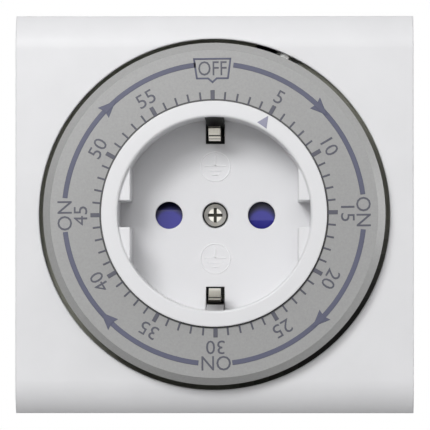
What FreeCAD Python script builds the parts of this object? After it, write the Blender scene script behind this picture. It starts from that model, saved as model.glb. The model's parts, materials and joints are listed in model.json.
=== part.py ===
import FreeCAD, Part
import math
import os
import re

import Sketcher

# Plug-in countdown timer with an earthed socket in the middle of its dial.
# X points right, Z up, and the front faces -Y. The origin is on the axis of the
# plug and the socket, in the back face that stands against the wall socket.
# A depth called front or back is measured forward from that face.

SIZES = {
    # front shell
    "plate_side": 80.8,
    "plate_front": 44.0,
    "plate_wall": 2.0,
    "side_wall": 2.0,
    "roll_height": 6.5,
    "roll_depth": 3.0,
    "inner_roll": 3.0,
    "shell_depth": 22.0,
    "dial_gap": 1.05,
    # rear tub
    "tub_inset": 1.0,
    "tub_wall": 2.2,
    "tub_floor": 2.2,
    "tub_corner": 4.0,
    "tub_edge": 1.2,
    "lip_height": 3.0,
    "lip_length": 54.0,
    "lip_wall": 1.0,
    "lip_clearance": 0.15,
    # plug boss on the back
    "plug_length": 17.0,
    "plug_radius": 18.3,
    "plug_bore_radius": 14.0,
    "plug_end_wall": 2.5,
    "plug_clearance": 0.4,
    "earth_groove_width": 5.2,
    "earth_groove_depth": 1.8,
    "boss_lip": 2.0,
    # plug pins
    "pin_spacing": 19.0,
    "pin_radius": 2.4,
    "pin_length": 19.0,
    "pin_rounding": 1.4,
    "pin_collar_radius": 3.4,
    "pin_collar": 1.5,
    "pin_shank_radius": 1.5,
    "pin_fit": 0.03,
    "pin_seat_radius": 2.7,
    # housing screws
    "screw_inset": 5.5,
    "screw_boss_radius": 3.2,
    "screw_radius": 1.4,
    "screw_length": 16.0,
    "screw_head_radius": 2.6,
    "screw_head": 1.8,
    "screw_clearance": 0.2,
    "screw_sink": 14.0,
    "boss_gap": 0.2,
    "boss_rib": 1.2,
    "boss_step": 1.2,
    # turning dial
    "dial_front": 49.2,
    "dial_margin": 5.8,
    "dial_bevel": 1.5,
    "dial_face_wall": 1.8,
    "dial_skirt_wall": 1.6,
    "dial_web_step": 1.8,
    "dial_lift": 0.3,
    "cam_step": 0.65,
    "cam_height": 3.8,
    "off_notch_angle": -4.25,
    "off_notch_width": 3.4,
    "off_notch_depth": 1.2,
    "sleeve_wall": 1.32,
    "sleeve_gap": 0.08,
    "sleeve_end": 35.0,
    "sleeve_slot_width": 3.2,
    "clip_wall": 0.5,
    "clip_width": 0.8,
    # socket insert
    "rim_front": 50.0,
    "recess_radius": 19.57,
    "recess_depth": 17.5,
    "recess_floor": 2.0,
    "pot_wall": 1.43,
    "bezel_lip": 1.8,
    "bezel_wall": 2.7,
    "bezel_gap": 0.1,
    "rim_bevel": 0.3,
    "pin_hole_radius": 2.8,
    "rib_face": 17.0,
    "rib_gap": 2.7,
    "rib_set_back": 1.2,
    "earth_slot_width": 3.8,
    "earth_slot_inner": 14.7,
    "earth_groove_lip": 1.5,
    "earth_groove_cut": 0.7,
    # screw in the middle of the socket
    "middle_head_radius": 2.5,
    "middle_head": 1.9,
    "middle_sink": 1.0,
    "middle_gap": 0.15,
    "middle_screw_radius": 1.5,
    "middle_screw_length": 31.0,
    "nut_side": 5.5,
    "nut_height": 1.8,
    # dark frame of the mechanism, with the tray under the dial
    "tray_front": 39.0,
    "tray_wall": 1.5,
    "tray_hole_gap": 1.7,
    "tray_rim_gap": 0.2,
    "tray_rim_wall": 1.0,
    "tray_rim_play": 0.5,
    "frame_play": 1.0,
    "window_start": 13.9,
    "window_end": 29.3,
    "window_inset": 0.4,
    "window_reach": 4.0,
    "stud_step": 4.2,
    "stud_radius": 2.2,
    "small_screw_radius": 0.8,
    "small_head_radius": 1.5,
    "small_head": 1.0,
    "small_screw_length": 4.0,
    "post_radius": 1.8,
    "post_inset": 2.5,
    "post_near": 8.0,
    # gear train
    "ring_teeth": 64,
    "ring_rim": 4.8,
    "ring_front": 37.2,
    "ring_wall": 1.25,
    "drive_teeth": 9,
    "fine_module": 0.22,
    "fine_wheel_teeth": 60,
    "fine_pinion_teeth": 8,
    "wheel_wall": 1.1,
    "wheel_gap": 0.3,
    "clutch_radius": 3.2,
    "backlash_share": 0.08,
    "arbor_radius": 0.3,
    "arbor_gap": 0.05,
    "chassis_front": 30.0,
    "chassis_wall": 1.4,
    "chassis_play": 0.2,
    "chassis_end": 6.0,
    "chassis_bevel": 8.0,
    "chassis_inner": 28.0,
    # motor
    "motor_gap": 0.5,
    "motor_radius": 10.0,
    "motor_depth": 12.0,
    "motor_wall": 0.8,
    "rotor_gap": 0.2,
    "rotor_shaft_radius": 0.5,
    "rotor_bush_radius": 1.6,
    "coil_core_radius": 4.8,
    # contacts and carrier behind the socket
    "carrier_radius": 19.0,
    "carrier_front": 28.0,
    "carrier_back": 6.0,
    "carrier_wall": 2.0,
    "ramp_low": 31.5,
    "ramp_high": 44.0,
    "ramp_foot": 8.0,
    "ramp_gap": 0.15,
    "chamber_width": 9.4,
    "chamber_height": 9.0,
    "shutter_wall": 2.0,
    "shutter_gap": 0.2,
    "shutter_hub_radius": 5.0,
    "shutter_post_radius": 3.2,
    "shutter_lobe_radius": 4.0,
    "shutter_ramp": 1.4,
    "shutter_crest": 0.8,
    "shutter_spring_rise": 6.7,
    "strip_wall": 0.6,
    "contact_width": 5.0,
    "contact_mouth": 25.2,
    "contact_base": 9.0,
    "contact_flare": 1.0,
    "contact_pinch": 0.1,
    "contact_lip": 2.0,
    "contact_leaf": 8.0,
    "earth_strip_wall": 0.6,
    "earth_clip_width": 2.4,
    "earth_leg": 17.6,
    "earth_clip_rise": 12.6,
    "earth_clip_bow": 2.3,
    "earth_cross": 4.2,
    # switch
    "follower_angle": 23.75,
    "follower_arm": 18.0,
    "follower_front": 36.9,
    "follower_wall": 2.2,
    "follower_tooth_front": 41.7,
    "follower_arm_width": 2.2,
    "tooth_width": 1.9,
    "tooth_slant": 0.3,
    "follower_tail": 1.8,
    "nose_half": 1.2,
    "nose_place": 4.6,
    "follower_gap": 0.1,
    "follower_pivot_radius": 1.2,
    "leaf_wall": 0.3,
    "leaf_width": 4.0,
    "leaf_step": 4.0,
    "leaf_over": 0.4,
    "rivet_width": 1.8,
    "contact_step": 1.2,
    "switch_base_start": 10.0,
    "switch_base_end": 14.2,
    "switch_base_lip": 0.5,
    "switch_base_width": 4.2,
    "spring_reach": 1.1,
    "spring_width": 1.5,
    "tab_length": 2.5,
    "tab_width": 1.4,
    # insulated wires
    "lead_radius": 0.6,
}

# Sizes that follow from those above, as formulas
FOLLOWING = {
    "screw_place": "plate_side / 2 - screw_inset",
    "dial_radius": "plate_side / 2 - dial_margin",
    "dial_hole_radius": "dial_radius + dial_gap",
    "cam_radius": "dial_radius - cam_step",
    "pot_radius": "recess_radius + pot_wall",
    "bezel_radius": "pot_radius + bezel_lip",
    "sleeve_radius": "pot_radius + sleeve_gap + sleeve_wall",
    "dial_web_radius": "sleeve_radius + dial_web_step",
    "tray_hole_radius": "pot_radius + tray_hole_gap",
    "tray_rim_radius": "dial_hole_radius + tray_rim_gap",
    "frame_half": "plate_side / 2 - side_wall - frame_play",
    "window_inner": "cam_radius - window_inset",
    "window_outer": "cam_radius + window_reach",
    "tooth_radius": "(cam_radius + window_outer) / 2",
    "stud_place": "screw_place - stud_step",
    "post_far": "frame_half - post_inset",
    "chassis_reach": "frame_half - chassis_play",
    "chassis_corner": "screw_place - chassis_bevel",
    "ring_module": "2 * (sleeve_radius + ring_rim) / ring_teeth",
    "drive_place": "(ring_teeth + drive_teeth) * ring_module / 2 / sqrt(2)",
    "motor_place": "(carrier_radius + motor_gap + motor_radius) / sqrt(2)",
    "fine_step": "(fine_wheel_teeth + fine_pinion_teeth) * fine_module / 2",
    "arbor_rise": "sqrt((fine_step ^ 2 - (motor_place - drive_place) ^ 2 / 2) / 2)",
    "arbor_middle": "(motor_place + drive_place) / 2",
    "leaf_radius": "cam_radius + leaf_step",
    "fixed_radius": "leaf_radius + contact_step",
    "switch_base_inner": "leaf_radius - switch_base_lip",
}

doc = FreeCAD.newDocument("plug_in_timer")
sheet = doc.addObject("Spreadsheet::Sheet", "sizes")
for row, (alias, number) in enumerate(SIZES.items(), 1):
    sheet.set(f"A{row}", alias)
    sheet.set(f"B{row}", str(number))
    sheet.setAlias(f"B{row}", alias)
doc.recompute()

WORD = re.compile(r"[a-z_]+")
FORWARD = FreeCAD.Rotation(FreeCAD.Vector(1, 0, 0), 90)
SHANK_SIDES = 8
HEAD_SIDES = 12
pieces = []


def formula(text):
    """An expression with each size pointed at the sheet."""

    def expand(found):
        word = found[0]
        if word in FOLLOWING:
            return f"({formula(FOLLOWING[word])})"
        return "sizes." + word if word in SIZES else word

    return WORD.sub(expand, text)


def number(text):
    """What a formula comes to."""
    return float(sheet.evalExpression(formula(text)))


class Numbers:
    """Each size as a number, for the shapes that are worked out here."""

    def __getattr__(self, name):
        return number(name)


s = Numbers()


def tie(thing, **formulas):
    for prop, text in formulas.items():
        thing.setExpression(prop, formula(text))
    return thing


def keep(thing, label):
    """Notes a finished sub-part under the name of its file."""
    thing.Label = label
    pieces.append(thing)
    return thing


# Sketches and features of a body


def new_body(label):
    return keep(doc.addObject("PartDesign::Body", label), label)


def new_sketch(body, role, offset="0"):
    """A sketch on one of the body's own planes. On XZ_Plane an offset is a depth."""
    sketch = body.newObject("Sketcher::SketchObject", body.Name + "_sketch")
    plane = next(f for f in body.Origin.OriginFeatures if f.Role == role)
    sketch.AttachmentSupport = [(plane, "")]
    sketch.MapMode = "FlatFace"
    sketch.setExpression("AttachmentOffset.Base.z", formula(offset))
    return sketch


def hold(sketch, kind, geometry, point, text):
    """Ties one coordinate of a point to a formula. 0 is held by the axis itself."""
    if text == "0":
        axis = -2 if kind == "DistanceX" else -1
        sketch.addConstraint(Sketcher.Constraint("PointOnObject", geometry, point, axis))
        return
    start = number(text)
    made = sketch.addConstraint(Sketcher.Constraint(kind, -1, 1, geometry, point, start))
    sketch.setExpression(f"Constraints[{made}]", formula(text))


def circle(sketch, radius, x="0", y="0"):
    start = FreeCAD.Vector(1, 1, 0)
    ring = sketch.addGeometry(Part.Circle(start, FreeCAD.Vector(0, 0, 1), 1.0))
    made = sketch.addConstraint(Sketcher.Constraint("Radius", ring, number(radius)))
    sketch.setExpression(f"Constraints[{made}]", formula(radius))
    hold(sketch, "DistanceX", ring, 3, x)
    hold(sketch, "DistanceY", ring, 3, y)


def outline(sketch, points):
    """A closed outline through points whose coordinates are formulas."""
    turn = 2 * math.pi / len(points)
    corners = [
        FreeCAD.Vector(math.cos(n * turn), math.sin(n * turn), 0)
        for n in range(len(points))
    ]
    lines = [
        sketch.addGeometry(Part.LineSegment(a, b))
        for a, b in zip(corners, corners[1:] + corners[:1])
    ]
    for here, after in zip(lines, lines[1:] + lines[:1]):
        sketch.addConstraint(Sketcher.Constraint("Coincident", here, 2, after, 1))
    for line, (x, y) in zip(lines, points):
        hold(sketch, "DistanceX", line, 1, x)
        hold(sketch, "DistanceY", line, 1, y)


def rectangle(sketch, left, right, low, high):
    outline(sketch, [(left, low), (right, low), (right, high), (left, high)])


def square(sketch, half):
    rectangle(sketch, f"-({half})", half, f"-({half})", half)


def feature(body, kind, sketch, across=False, **formulas):
    """Adds a feature made from a sketch, and checks that it changes the solid."""
    before = body.Shape.Volume if body.Tip else 0.0
    made = body.newObject("PartDesign::" + kind, f"{body.Name}_{kind}")
    made.Profile = sketch
    if kind in ("Revolution", "Groove"):
        made.ReferenceAxis = (sketch, ["V_Axis"])
        made.Angle = 360.0
    if across:
        made.SideType = "Symmetric"
    tie(made, **formulas)
    doc.recompute()
    if abs(body.Shape.Volume - before) < 1e-6:
        raise RuntimeError(f"{made.Name} changes nothing")
    return made


def pad(body, sketch, length, across=False):
    """A pad from the sketch forward, or to both sides of it."""
    return feature(body, "Pad", sketch, across, Length=length)


def cut(body, sketch, length, across=False):
    """A pocket from the sketch backward, or to both sides of it."""
    return feature(body, "Pocket", sketch, across, Length=length)


def revolve(body, points):
    """A solid of revolution round Y, from points of radius and y."""
    sketch = new_sketch(body, "XY_Plane")
    outline(sketch, points)
    return feature(body, "Revolution", sketch)


def dress(body, kind, chosen, **formulas):
    """Rounds or bevels the edges that the test chooses."""
    base = body.Tip
    names = [
        f"Edge{n}" for n, edge in enumerate(base.Shape.Edges, 1) if chosen(edge)
    ]
    if not names:
        raise RuntimeError(f"{body.Name} has no such edge")
    made = body.newObject("PartDesign::" + kind, f"{body.Name}_{kind}")
    made.Base = (base, names)
    tie(made, **formulas)
    body.Tip = made
    doc.recompute()
    return made


def near(a, b):
    return abs(a - b) < 1e-4


def runs_along(edge, axis):
    """Is the edge straight and parallel to this axis, 0, 1 or 2?"""
    if edge.Curve.TypeId != "Part::GeomLine":
        return False
    return near(abs(edge.tangentAt(edge.FirstParameter)[axis]), 1.0)


def is_ring(edge, radius, depth):
    """Is the edge a circle of this radius at this depth?"""
    if edge.Curve.TypeId != "Part::GeomCircle":
        return False
    return near(edge.Curve.Radius, radius) and near(-edge.Curve.Center.y, depth)


# Plain solids and joins of them


def place(thing, x="0", y="0", z="0"):
    thing.setExpression("Placement.Base.x", formula(x))
    thing.setExpression("Placement.Base.y", formula(y))
    thing.setExpression("Placement.Base.z", formula(z))
    return thing


def rod(name, radius, back, front, x="0", z="0", sides=None):
    """A cylinder, or a prism of so many sides, that stands forward from back to front."""
    thing = doc.addObject("Part::Prism" if sides else "Part::Cylinder", name)
    thing.Placement.Rotation = FORWARD
    if sides:
        thing.Polygon = sides
        tie(thing, Circumradius=radius)
    else:
        tie(thing, Radius=radius)
    tie(thing, Height=f"{front} - ({back})")
    return place(thing, x, f"-({back})", z)


def fuse(name, *things):
    made = doc.addObject("Part::MultiFuse", name)
    made.Shapes = list(things)
    made.Refine = True
    return made


def solid_of(label, shape):
    """A sub-part whose shape is worked out by a formula in this file."""
    thing = doc.addObject("Part::Feature", label)
    thing.Shape = shape
    return keep(thing, label)


def at(x, back, z):
    """A point at a depth."""
    return FreeCAD.Vector(x, -back, z)


def bent_strip(points, wall, width, across):
    """Sheet metal bent along points, with wall / 2 on both sides of the bend line."""
    normals = [across.cross(b - a).normalize() for a, b in zip(points, points[1:])]
    aside = [normals[0]]
    for before, after in zip(normals, normals[1:]):
        aside.append((before + after) * (1 / (1 + before.dot(after))))
    aside.append(normals[-1])
    half = wall / 2
    one_side = [point + step * half for point, step in zip(points, aside)]
    other_side = [point - step * half for point, step in zip(points, aside)]
    corners = one_side + other_side[::-1]
    return Part.Face(Part.makePolygon(corners + corners[:1])).extrude(across * width)


# Places that several pieces share, as formulas of x and z

CHASSIS_POSTS = [("-post_far", "-post_near"), ("-post_near", "-post_far")]
STUDS = [
    ("-stud_place", "stud_place"),
    ("-stud_place", "-stud_place"),
    ("stud_place", "-stud_place"),
]
MOTOR_AXIS = ("-motor_place", "-motor_place")
FIRST_ARBOR = ("-arbor_middle + arbor_rise", "-arbor_middle - arbor_rise")
SECOND_ARBOR = ("-drive_place", "-drive_place")
FOLLOWER_PIVOT = (
    "tooth_radius * sin(follower_angle) + follower_arm * cos(follower_angle)",
    "tooth_radius * cos(follower_angle) - follower_arm * sin(follower_angle)",
)


# Socket insert: a deep pot under a flat bezel


def socket_insert():
    body = new_body("socket_insert")
    floor = "(rim_front - recess_depth)"
    outer = "pot_radius"
    under = "-(rim_front - bezel_wall)"
    below = f"-({floor} - recess_floor)"
    revolve(
        body,
        [
            ("0", f"-{floor}"),
            ("recess_radius", f"-{floor}"),
            ("recess_radius", "-rim_front"),
            ("bezel_radius", "-rim_front"),
            ("bezel_radius", under),
            (outer, under),
            (outer, below),
            ("0", below),
        ],
    )
    dress(body, "Chamfer", lambda edge: is_ring(edge, s.recess_radius, s.rim_front), Size="rim_bevel")
    guide_ribs(body)
    sketch = new_sketch(body, "XZ_Plane", floor)
    for x in ("pin_spacing / 2", "-pin_spacing / 2"):
        circle(sketch, "pin_hole_radius", x)
    circle(sketch, "middle_screw_radius + middle_gap")
    cut(body, sketch, "recess_floor + 1")
    sketch = new_sketch(body, "XZ_Plane", floor)
    circle(sketch, "middle_head_radius + middle_gap")
    cut(body, sketch, "middle_sink")
    earth_openings(body)


def guide_ribs(body):
    """Two ribs on each side, flat towards the middle, with a gap for the plug's key."""
    sketch = new_sketch(body, "XZ_Plane", "rim_front - recess_depth - recess_floor / 2")
    middle = "(recess_radius + pot_wall / 2)"
    at_gap = f"sqrt({middle} ^ 2 - rib_gap ^ 2)"
    at_face = f"sqrt({middle} ^ 2 - rib_face ^ 2)"
    for side in ("", "-"):
        for end in ("", "-"):
            outline(
                sketch,
                [
                    (f"{side}rib_face", f"{end}rib_gap"),
                    (f"{side}{at_gap}", f"{end}rib_gap"),
                    (f"{side}rib_face", f"{end}{at_face}"),
                ],
            )
    pad(body, sketch, "recess_depth + recess_floor / 2 - rib_set_back")


def earth_openings(body):
    """Slots in the floor for the earth clips, and the grooves in the wall behind them."""
    half = "earth_slot_width / 2"
    groove = "(recess_radius + earth_groove_cut)"
    sketch = new_sketch(body, "XZ_Plane", "rim_front - earth_groove_lip")
    rectangle(sketch, f"-{half}", half, "earth_slot_inner", groove)
    rectangle(sketch, f"-{half}", half, f"-{groove}", "-earth_slot_inner")
    cut(body, sketch, "recess_depth + recess_floor")


def centre_screw():
    body = new_body("centre_screw")
    seat = "(rim_front - recess_depth - middle_sink)"
    crown = f"-({seat} + middle_head)"
    revolve(
        body,
        [
            ("0", crown),
            ("middle_head_radius * 0.55", crown),
            ("middle_head_radius * 0.9", f"{crown} + middle_head * 0.3"),
            ("middle_head_radius", f"{crown} + middle_head * 0.65"),
            ("middle_head_radius", f"-{seat}"),
            ("middle_screw_radius", f"-{seat}"),
            ("middle_screw_radius", f"-({seat} - middle_screw_length)"),
            ("0", f"-({seat} - middle_screw_length)"),
        ],
    )
    sketch = new_sketch(body, "XZ_Plane", f"{seat} + middle_head")
    arm = "middle_head_radius * 0.6"
    blade = "middle_head_radius * 0.13"
    outline(
        sketch,
        [
            (f"-{arm}", f"-{blade}"),
            (f"-{blade}", f"-{blade}"),
            (f"-{blade}", f"-{arm}"),
            (blade, f"-{arm}"),
            (blade, f"-{blade}"),
            (arm, f"-{blade}"),
            (arm, blade),
            (blade, blade),
            (blade, arm),
            (f"-{blade}", arm),
            (f"-{blade}", blade),
            (f"-{arm}", blade),
        ],
    )
    cut(body, sketch, "middle_head * 0.6")


def centre_nut():
    body = new_body("centre_nut")
    sketch = new_sketch(body, "XZ_Plane", "earth_cross - earth_strip_wall * 1.5 - nut_height")
    square(sketch, "nut_side / 2")
    circle(sketch, "middle_screw_radius")
    pad(body, sketch, "nut_height")


# The dial turns on the pot's outside, between the bezel and the tray


def dial_ring():
    body = new_body("dial_ring")
    face_back = "-(dial_front - dial_face_wall)"
    skirt_end = "-(tray_front + dial_lift)"
    cam_top = f"({skirt_end} - cam_height)"
    shoulder = "-(rim_front - bezel_wall - bezel_gap)"
    bore = "pot_radius + sleeve_gap"
    revolve(
        body,
        [
            ("bezel_radius + bezel_gap", "-dial_front"),
            ("dial_radius - dial_bevel", "-dial_front"),
            ("dial_radius", "-dial_front + dial_bevel"),
            ("dial_radius", cam_top),
            ("cam_radius", cam_top),
            ("cam_radius", skirt_end),
            ("cam_radius - dial_skirt_wall", skirt_end),
            ("cam_radius - dial_skirt_wall", face_back),
            ("dial_web_radius", face_back),
            ("dial_web_radius", skirt_end),
            ("sleeve_radius", skirt_end),
            ("sleeve_radius", "-sleeve_end"),
            (bore, "-sleeve_end"),
            (bore, shoulder),
            ("bezel_radius + bezel_gap", shoulder),
        ],
    )
    sketch = new_sketch(body, "XZ_Plane", "ring_front + bezel_gap")
    half = "sleeve_slot_width / 2"
    rectangle(sketch, f"-{half}", half, "recess_radius", "sleeve_radius + bezel_gap")
    made = cut(body, sketch, "ring_front")
    spread_round(body, made, 3)
    off_notch(body)


def spread_round(body, made, copies):
    """Repeats a feature evenly round the Y axis."""
    pattern = body.newObject("PartDesign::PolarPattern", f"{made.Name}_round")
    pattern.Originals = [made]
    axis = next(f for f in body.Origin.OriginFeatures if f.Role == "Y_Axis")
    pattern.Axis = (axis, [""])
    pattern.Angle = 360
    pattern.Occurrences = copies
    body.Tip = pattern
    doc.recompute()
    return pattern


def off_notch(body):
    """The notch that the switch's follower drops into once the OFF mark reaches the pointer."""
    sketch = new_sketch(body, "XZ_Plane", "tray_front + dial_lift + cam_height")
    half = "off_notch_width / 2"
    ramp = "off_notch_depth"
    inner = "(cam_radius - off_notch_depth)"
    corners = [
        (f"-{half}", inner),
        (half, inner),
        (half, "cam_radius + 1"),
        (f"-{half} - {ramp} * 2", "cam_radius + 1"),
    ]
    turned = [
        (
            f"({x}) * cos(off_notch_angle) + ({z}) * sin(off_notch_angle)",
            f"({z}) * cos(off_notch_angle) - ({x}) * sin(off_notch_angle)",
        )
        for x, z in corners
    ]
    outline(sketch, turned)
    cut(body, sketch, "cam_height + dial_lift * 2")


# Dark frame of the mechanism: its tray is the floor of the gap round the dial


def mechanism_frame():
    body = new_body("mechanism_frame")
    sketch = new_sketch(body, "XZ_Plane", "tray_front - tray_wall")
    square(sketch, "frame_half")
    circle(sketch, "tray_hole_radius")
    pad(body, sketch, "tray_wall")
    dress(body, "Fillet", lambda edge: runs_along(edge, 1), Radius="tub_corner")
    sketch = new_sketch(body, "XZ_Plane", "tray_front - tray_wall / 2")
    circle(sketch, "tray_rim_radius")
    circle(sketch, "tray_rim_radius + tray_rim_wall")
    pad(body, sketch, "plate_front - plate_wall - tray_rim_play - tray_front + tray_wall / 2")
    sketch = new_sketch(body, "XZ_Plane", "tray_front + 1")
    corner_rounds(sketch, "screw_boss_radius + screw_clearance")
    cut(body, sketch, "tray_wall + 2")
    frame_window(body)
    frame_posts(body)


def polar(radius, angle):
    """A place at a clock angle, as formulas of x and z."""
    return f"({radius}) * sin({angle})", f"({radius}) * cos({angle})"


def frame_window(body):
    """The opening in the tray through which the follower's tooth stands."""
    sketch = new_sketch(body, "XZ_Plane", "plate_front")
    middle = "((window_start + window_end) / 2)"
    far = "(window_outer / cos((window_end - window_start) / 2))"
    outline(
        sketch,
        [
            polar("window_inner", "window_start"),
            polar("window_outer", "window_start"),
            polar(far, middle),
            polar("window_outer", "window_end"),
            polar("window_inner", "window_end"),
        ],
    )
    cut(body, sketch, "plate_front - tray_front + tray_wall + 1")


def frame_posts(body):
    """Posts behind the tray for the chassis plate and the follower, and blind holes for the arbors."""
    sketch = new_sketch(body, "XZ_Plane", "chassis_front")
    for x, z in CHASSIS_POSTS:
        circle(sketch, "post_radius", x, z)
    pad(body, sketch, "tray_front - chassis_front - tray_wall / 2")
    sketch = new_sketch(body, "XZ_Plane", "chassis_front + small_screw_length")
    for x, z in CHASSIS_POSTS:
        circle(sketch, "small_screw_radius", x, z)
    cut(body, sketch, "small_screw_length + 1")
    sketch = new_sketch(body, "XZ_Plane", "follower_front - follower_wall - small_head")
    circle(sketch, "follower_pivot_radius", *FOLLOWER_PIVOT)
    pad(body, sketch, "tray_front - follower_front + follower_wall + small_head - tray_wall / 2")
    sketch = new_sketch(body, "XZ_Plane", "tray_front - tray_wall / 2")
    for x, z in (FIRST_ARBOR, SECOND_ARBOR):
        circle(sketch, "arbor_radius + pin_fit", x, z)
    cut(body, sketch, "tray_wall / 2 + 1")
    sketch = new_sketch(body, "XZ_Plane", "tray_front + 1")
    for x, z in STUDS:
        circle(sketch, "small_screw_radius + screw_clearance", x, z)
    cut(body, sketch, "tray_wall + 2")


CORNERS = [
    (x, z)
    for x in ("screw_place", "-screw_place")
    for z in ("screw_place", "-screw_place")
]


def corner_rounds(sketch, radius):
    for x, z in CORNERS:
        circle(sketch, radius, x, z)


# Front shell: a square plate whose top and bottom edges roll back


def front_housing():
    body = new_body("front_housing")
    sketch = new_sketch(body, "XZ_Plane", "plate_front - shell_depth")
    square(sketch, "plate_side / 2")
    pad(body, sketch, "shell_depth")

    rolled_edges(body)
    sketch = new_sketch(body, "XZ_Plane", "plate_front - plate_wall")
    square(sketch, "plate_side / 2 - side_wall")
    cut(body, sketch, "shell_depth")

    def rolled_inside(edge):
        point = edge.valueAt(edge.FirstParameter)
        at_wall = near(abs(point.z), s.plate_side / 2 - s.side_wall)
        return runs_along(edge, 0) and at_wall and near(-point.y, s.plate_front - s.plate_wall)

    dress(body, "Fillet", rolled_inside, Radius="inner_roll")
    sketch = new_sketch(body, "XZ_Plane", "plate_front")
    circle(sketch, "dial_hole_radius")
    cut(body, sketch, "plate_wall + 1")
    boss_end = "(plate_front - shell_depth + boss_gap)"
    sketch = new_sketch(body, "XZ_Plane", boss_end)
    corner_rounds(sketch, "screw_boss_radius")
    pad(body, sketch, "shell_depth - plate_wall - boss_gap / 2")
    sketch = new_sketch(body, "XZ_Plane", boss_end + " + lip_height + 1")
    inner = "screw_place + screw_boss_radius / 2"
    outer = "plate_side / 2 - side_wall / 2"
    for left, right in ((inner, outer), (f"-({outer})", f"-({inner})")):
        for z in ("screw_place", "-screw_place"):
            rectangle(sketch, left, right, f"{z} - boss_rib / 2", f"{z} + boss_rib / 2")
    pad(body, sketch, "shell_depth - plate_wall - boss_gap - lip_height - 1")
    sketch = new_sketch(body, "XZ_Plane", "screw_sink + screw_length + screw_clearance")
    corner_rounds(sketch, "screw_radius")
    cut(body, sketch, "screw_length")
    sketch = new_sketch(body, "XZ_Plane", "tray_front")
    for x, z in STUDS:
        circle(sketch, "stud_radius", x, z)
        circle(sketch, "small_screw_radius", x, z)
    pad(body, sketch, "plate_front - plate_wall / 2 - tray_front")


def rolled_edges(body):
    """Takes the front's top and bottom corners off along an arc that is tangent to the front."""
    bend = (s.roll_height**2 + s.roll_depth**2) / (2 * s.roll_depth)
    sweep = math.asin(s.roll_height / bend)
    sketch = new_sketch(body, "YZ_Plane")
    half = "plate_side / 2"
    for side in (1, -1):
        sign = "" if side > 0 else "-"
        centre = FreeCAD.Vector(bend - s.plate_front, side * (s.plate_side / 2 - s.roll_height), 0)
        ends = sorted((math.pi - side * sweep, math.pi))
        round_line = Part.Circle(centre, FreeCAD.Vector(0, 0, 1), bend)
        arc = sketch.addGeometry(Part.ArcOfCircle(round_line, *ends))
        edge_end, face_end = (1, 2) if side > 0 else (2, 1)
        places = [
            ("-plate_front", f"{sign}({half} - roll_height)"),
            ("-plate_front", f"{sign}({half})"),
            ("-(plate_front - roll_depth)", f"{sign}({half})"),
        ]
        corners = [FreeCAD.Vector(number(x), number(y), 0) for x, y in places]
        lines = [
            sketch.addGeometry(Part.LineSegment(a, b)) for a, b in zip(corners, corners[1:])
        ]
        join = Sketcher.Constraint
        sketch.addConstraint(join("Coincident", lines[0], 2, lines[1], 1))
        sketch.addConstraint(join("Coincident", arc, face_end, lines[0], 1))
        sketch.addConstraint(join("Coincident", arc, edge_end, lines[1], 2))
        for line, point, place_of in zip((lines[0], *lines), (1, 2, 2), places):
            hold(sketch, "DistanceX", line, point, place_of[0])
            hold(sketch, "DistanceY", line, point, place_of[1])
        radius = sketch.addConstraint(join("Radius", arc, bend))
        bend_text = formula("(roll_height ^ 2 + roll_depth ^ 2) / (2 * roll_depth)")
        sketch.setExpression(f"Constraints[{radius}]", bend_text)
    cut(body, sketch, "plate_side + 2", across=True)


# Rear tub with the round plug boss


def rear_housing():
    body = new_body("rear_housing")
    sketch = new_sketch(body, "XZ_Plane")
    square(sketch, "plate_side / 2 - tub_inset")
    split = "(plate_front - shell_depth)"
    pad(body, sketch, split)
    dress(body, "Fillet", lambda edge: runs_along(edge, 1), Radius="tub_corner")

    def back_edge(edge):
        return abs(edge.BoundBox.YMax) < 1e-4 and abs(edge.BoundBox.YMin) < 1e-4

    dress(body, "Chamfer", back_edge, Size="tub_edge")
    sketch = new_sketch(body, "XZ_Plane", split)
    square(sketch, "plate_side / 2 - tub_inset - tub_wall")
    cut(body, sketch, f"{split} - tub_floor")

    lip_out = "(plate_side / 2 - side_wall - lip_clearance)"
    lip_in = f"({lip_out} - lip_wall)"
    sketch = new_sketch(body, "XZ_Plane", f"{split} - lip_height")
    half = "lip_length / 2"
    rectangle(sketch, lip_in, lip_out, f"-{half}", half)
    rectangle(sketch, f"-{lip_out}", f"-{lip_in}", f"-{half}", half)
    rectangle(sketch, f"-{half}", half, lip_in, lip_out)
    rectangle(sketch, f"-{half}", half, f"-{lip_out}", f"-{lip_in}")
    pad(body, sketch, "lip_height * 2")

    sketch = new_sketch(body, "XZ_Plane", "tub_floor / 2")
    corner_rounds(sketch, "screw_boss_radius + tub_wall / 2")
    pad(body, sketch, "screw_sink + boss_step - tub_floor / 2")
    sketch = new_sketch(body, "XZ_Plane", "screw_sink")
    corner_rounds(sketch, "screw_boss_radius")
    pad(body, sketch, f"{split} - screw_sink")
    sketch = new_sketch(body, "XZ_Plane", split)
    corner_rounds(sketch, "screw_radius + screw_clearance")
    cut(body, sketch, split)
    sketch = new_sketch(body, "XZ_Plane", "screw_sink")
    corner_rounds(sketch, "screw_head_radius + screw_clearance")
    cut(body, sketch, "screw_sink")
    plug_boss(body)


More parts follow.
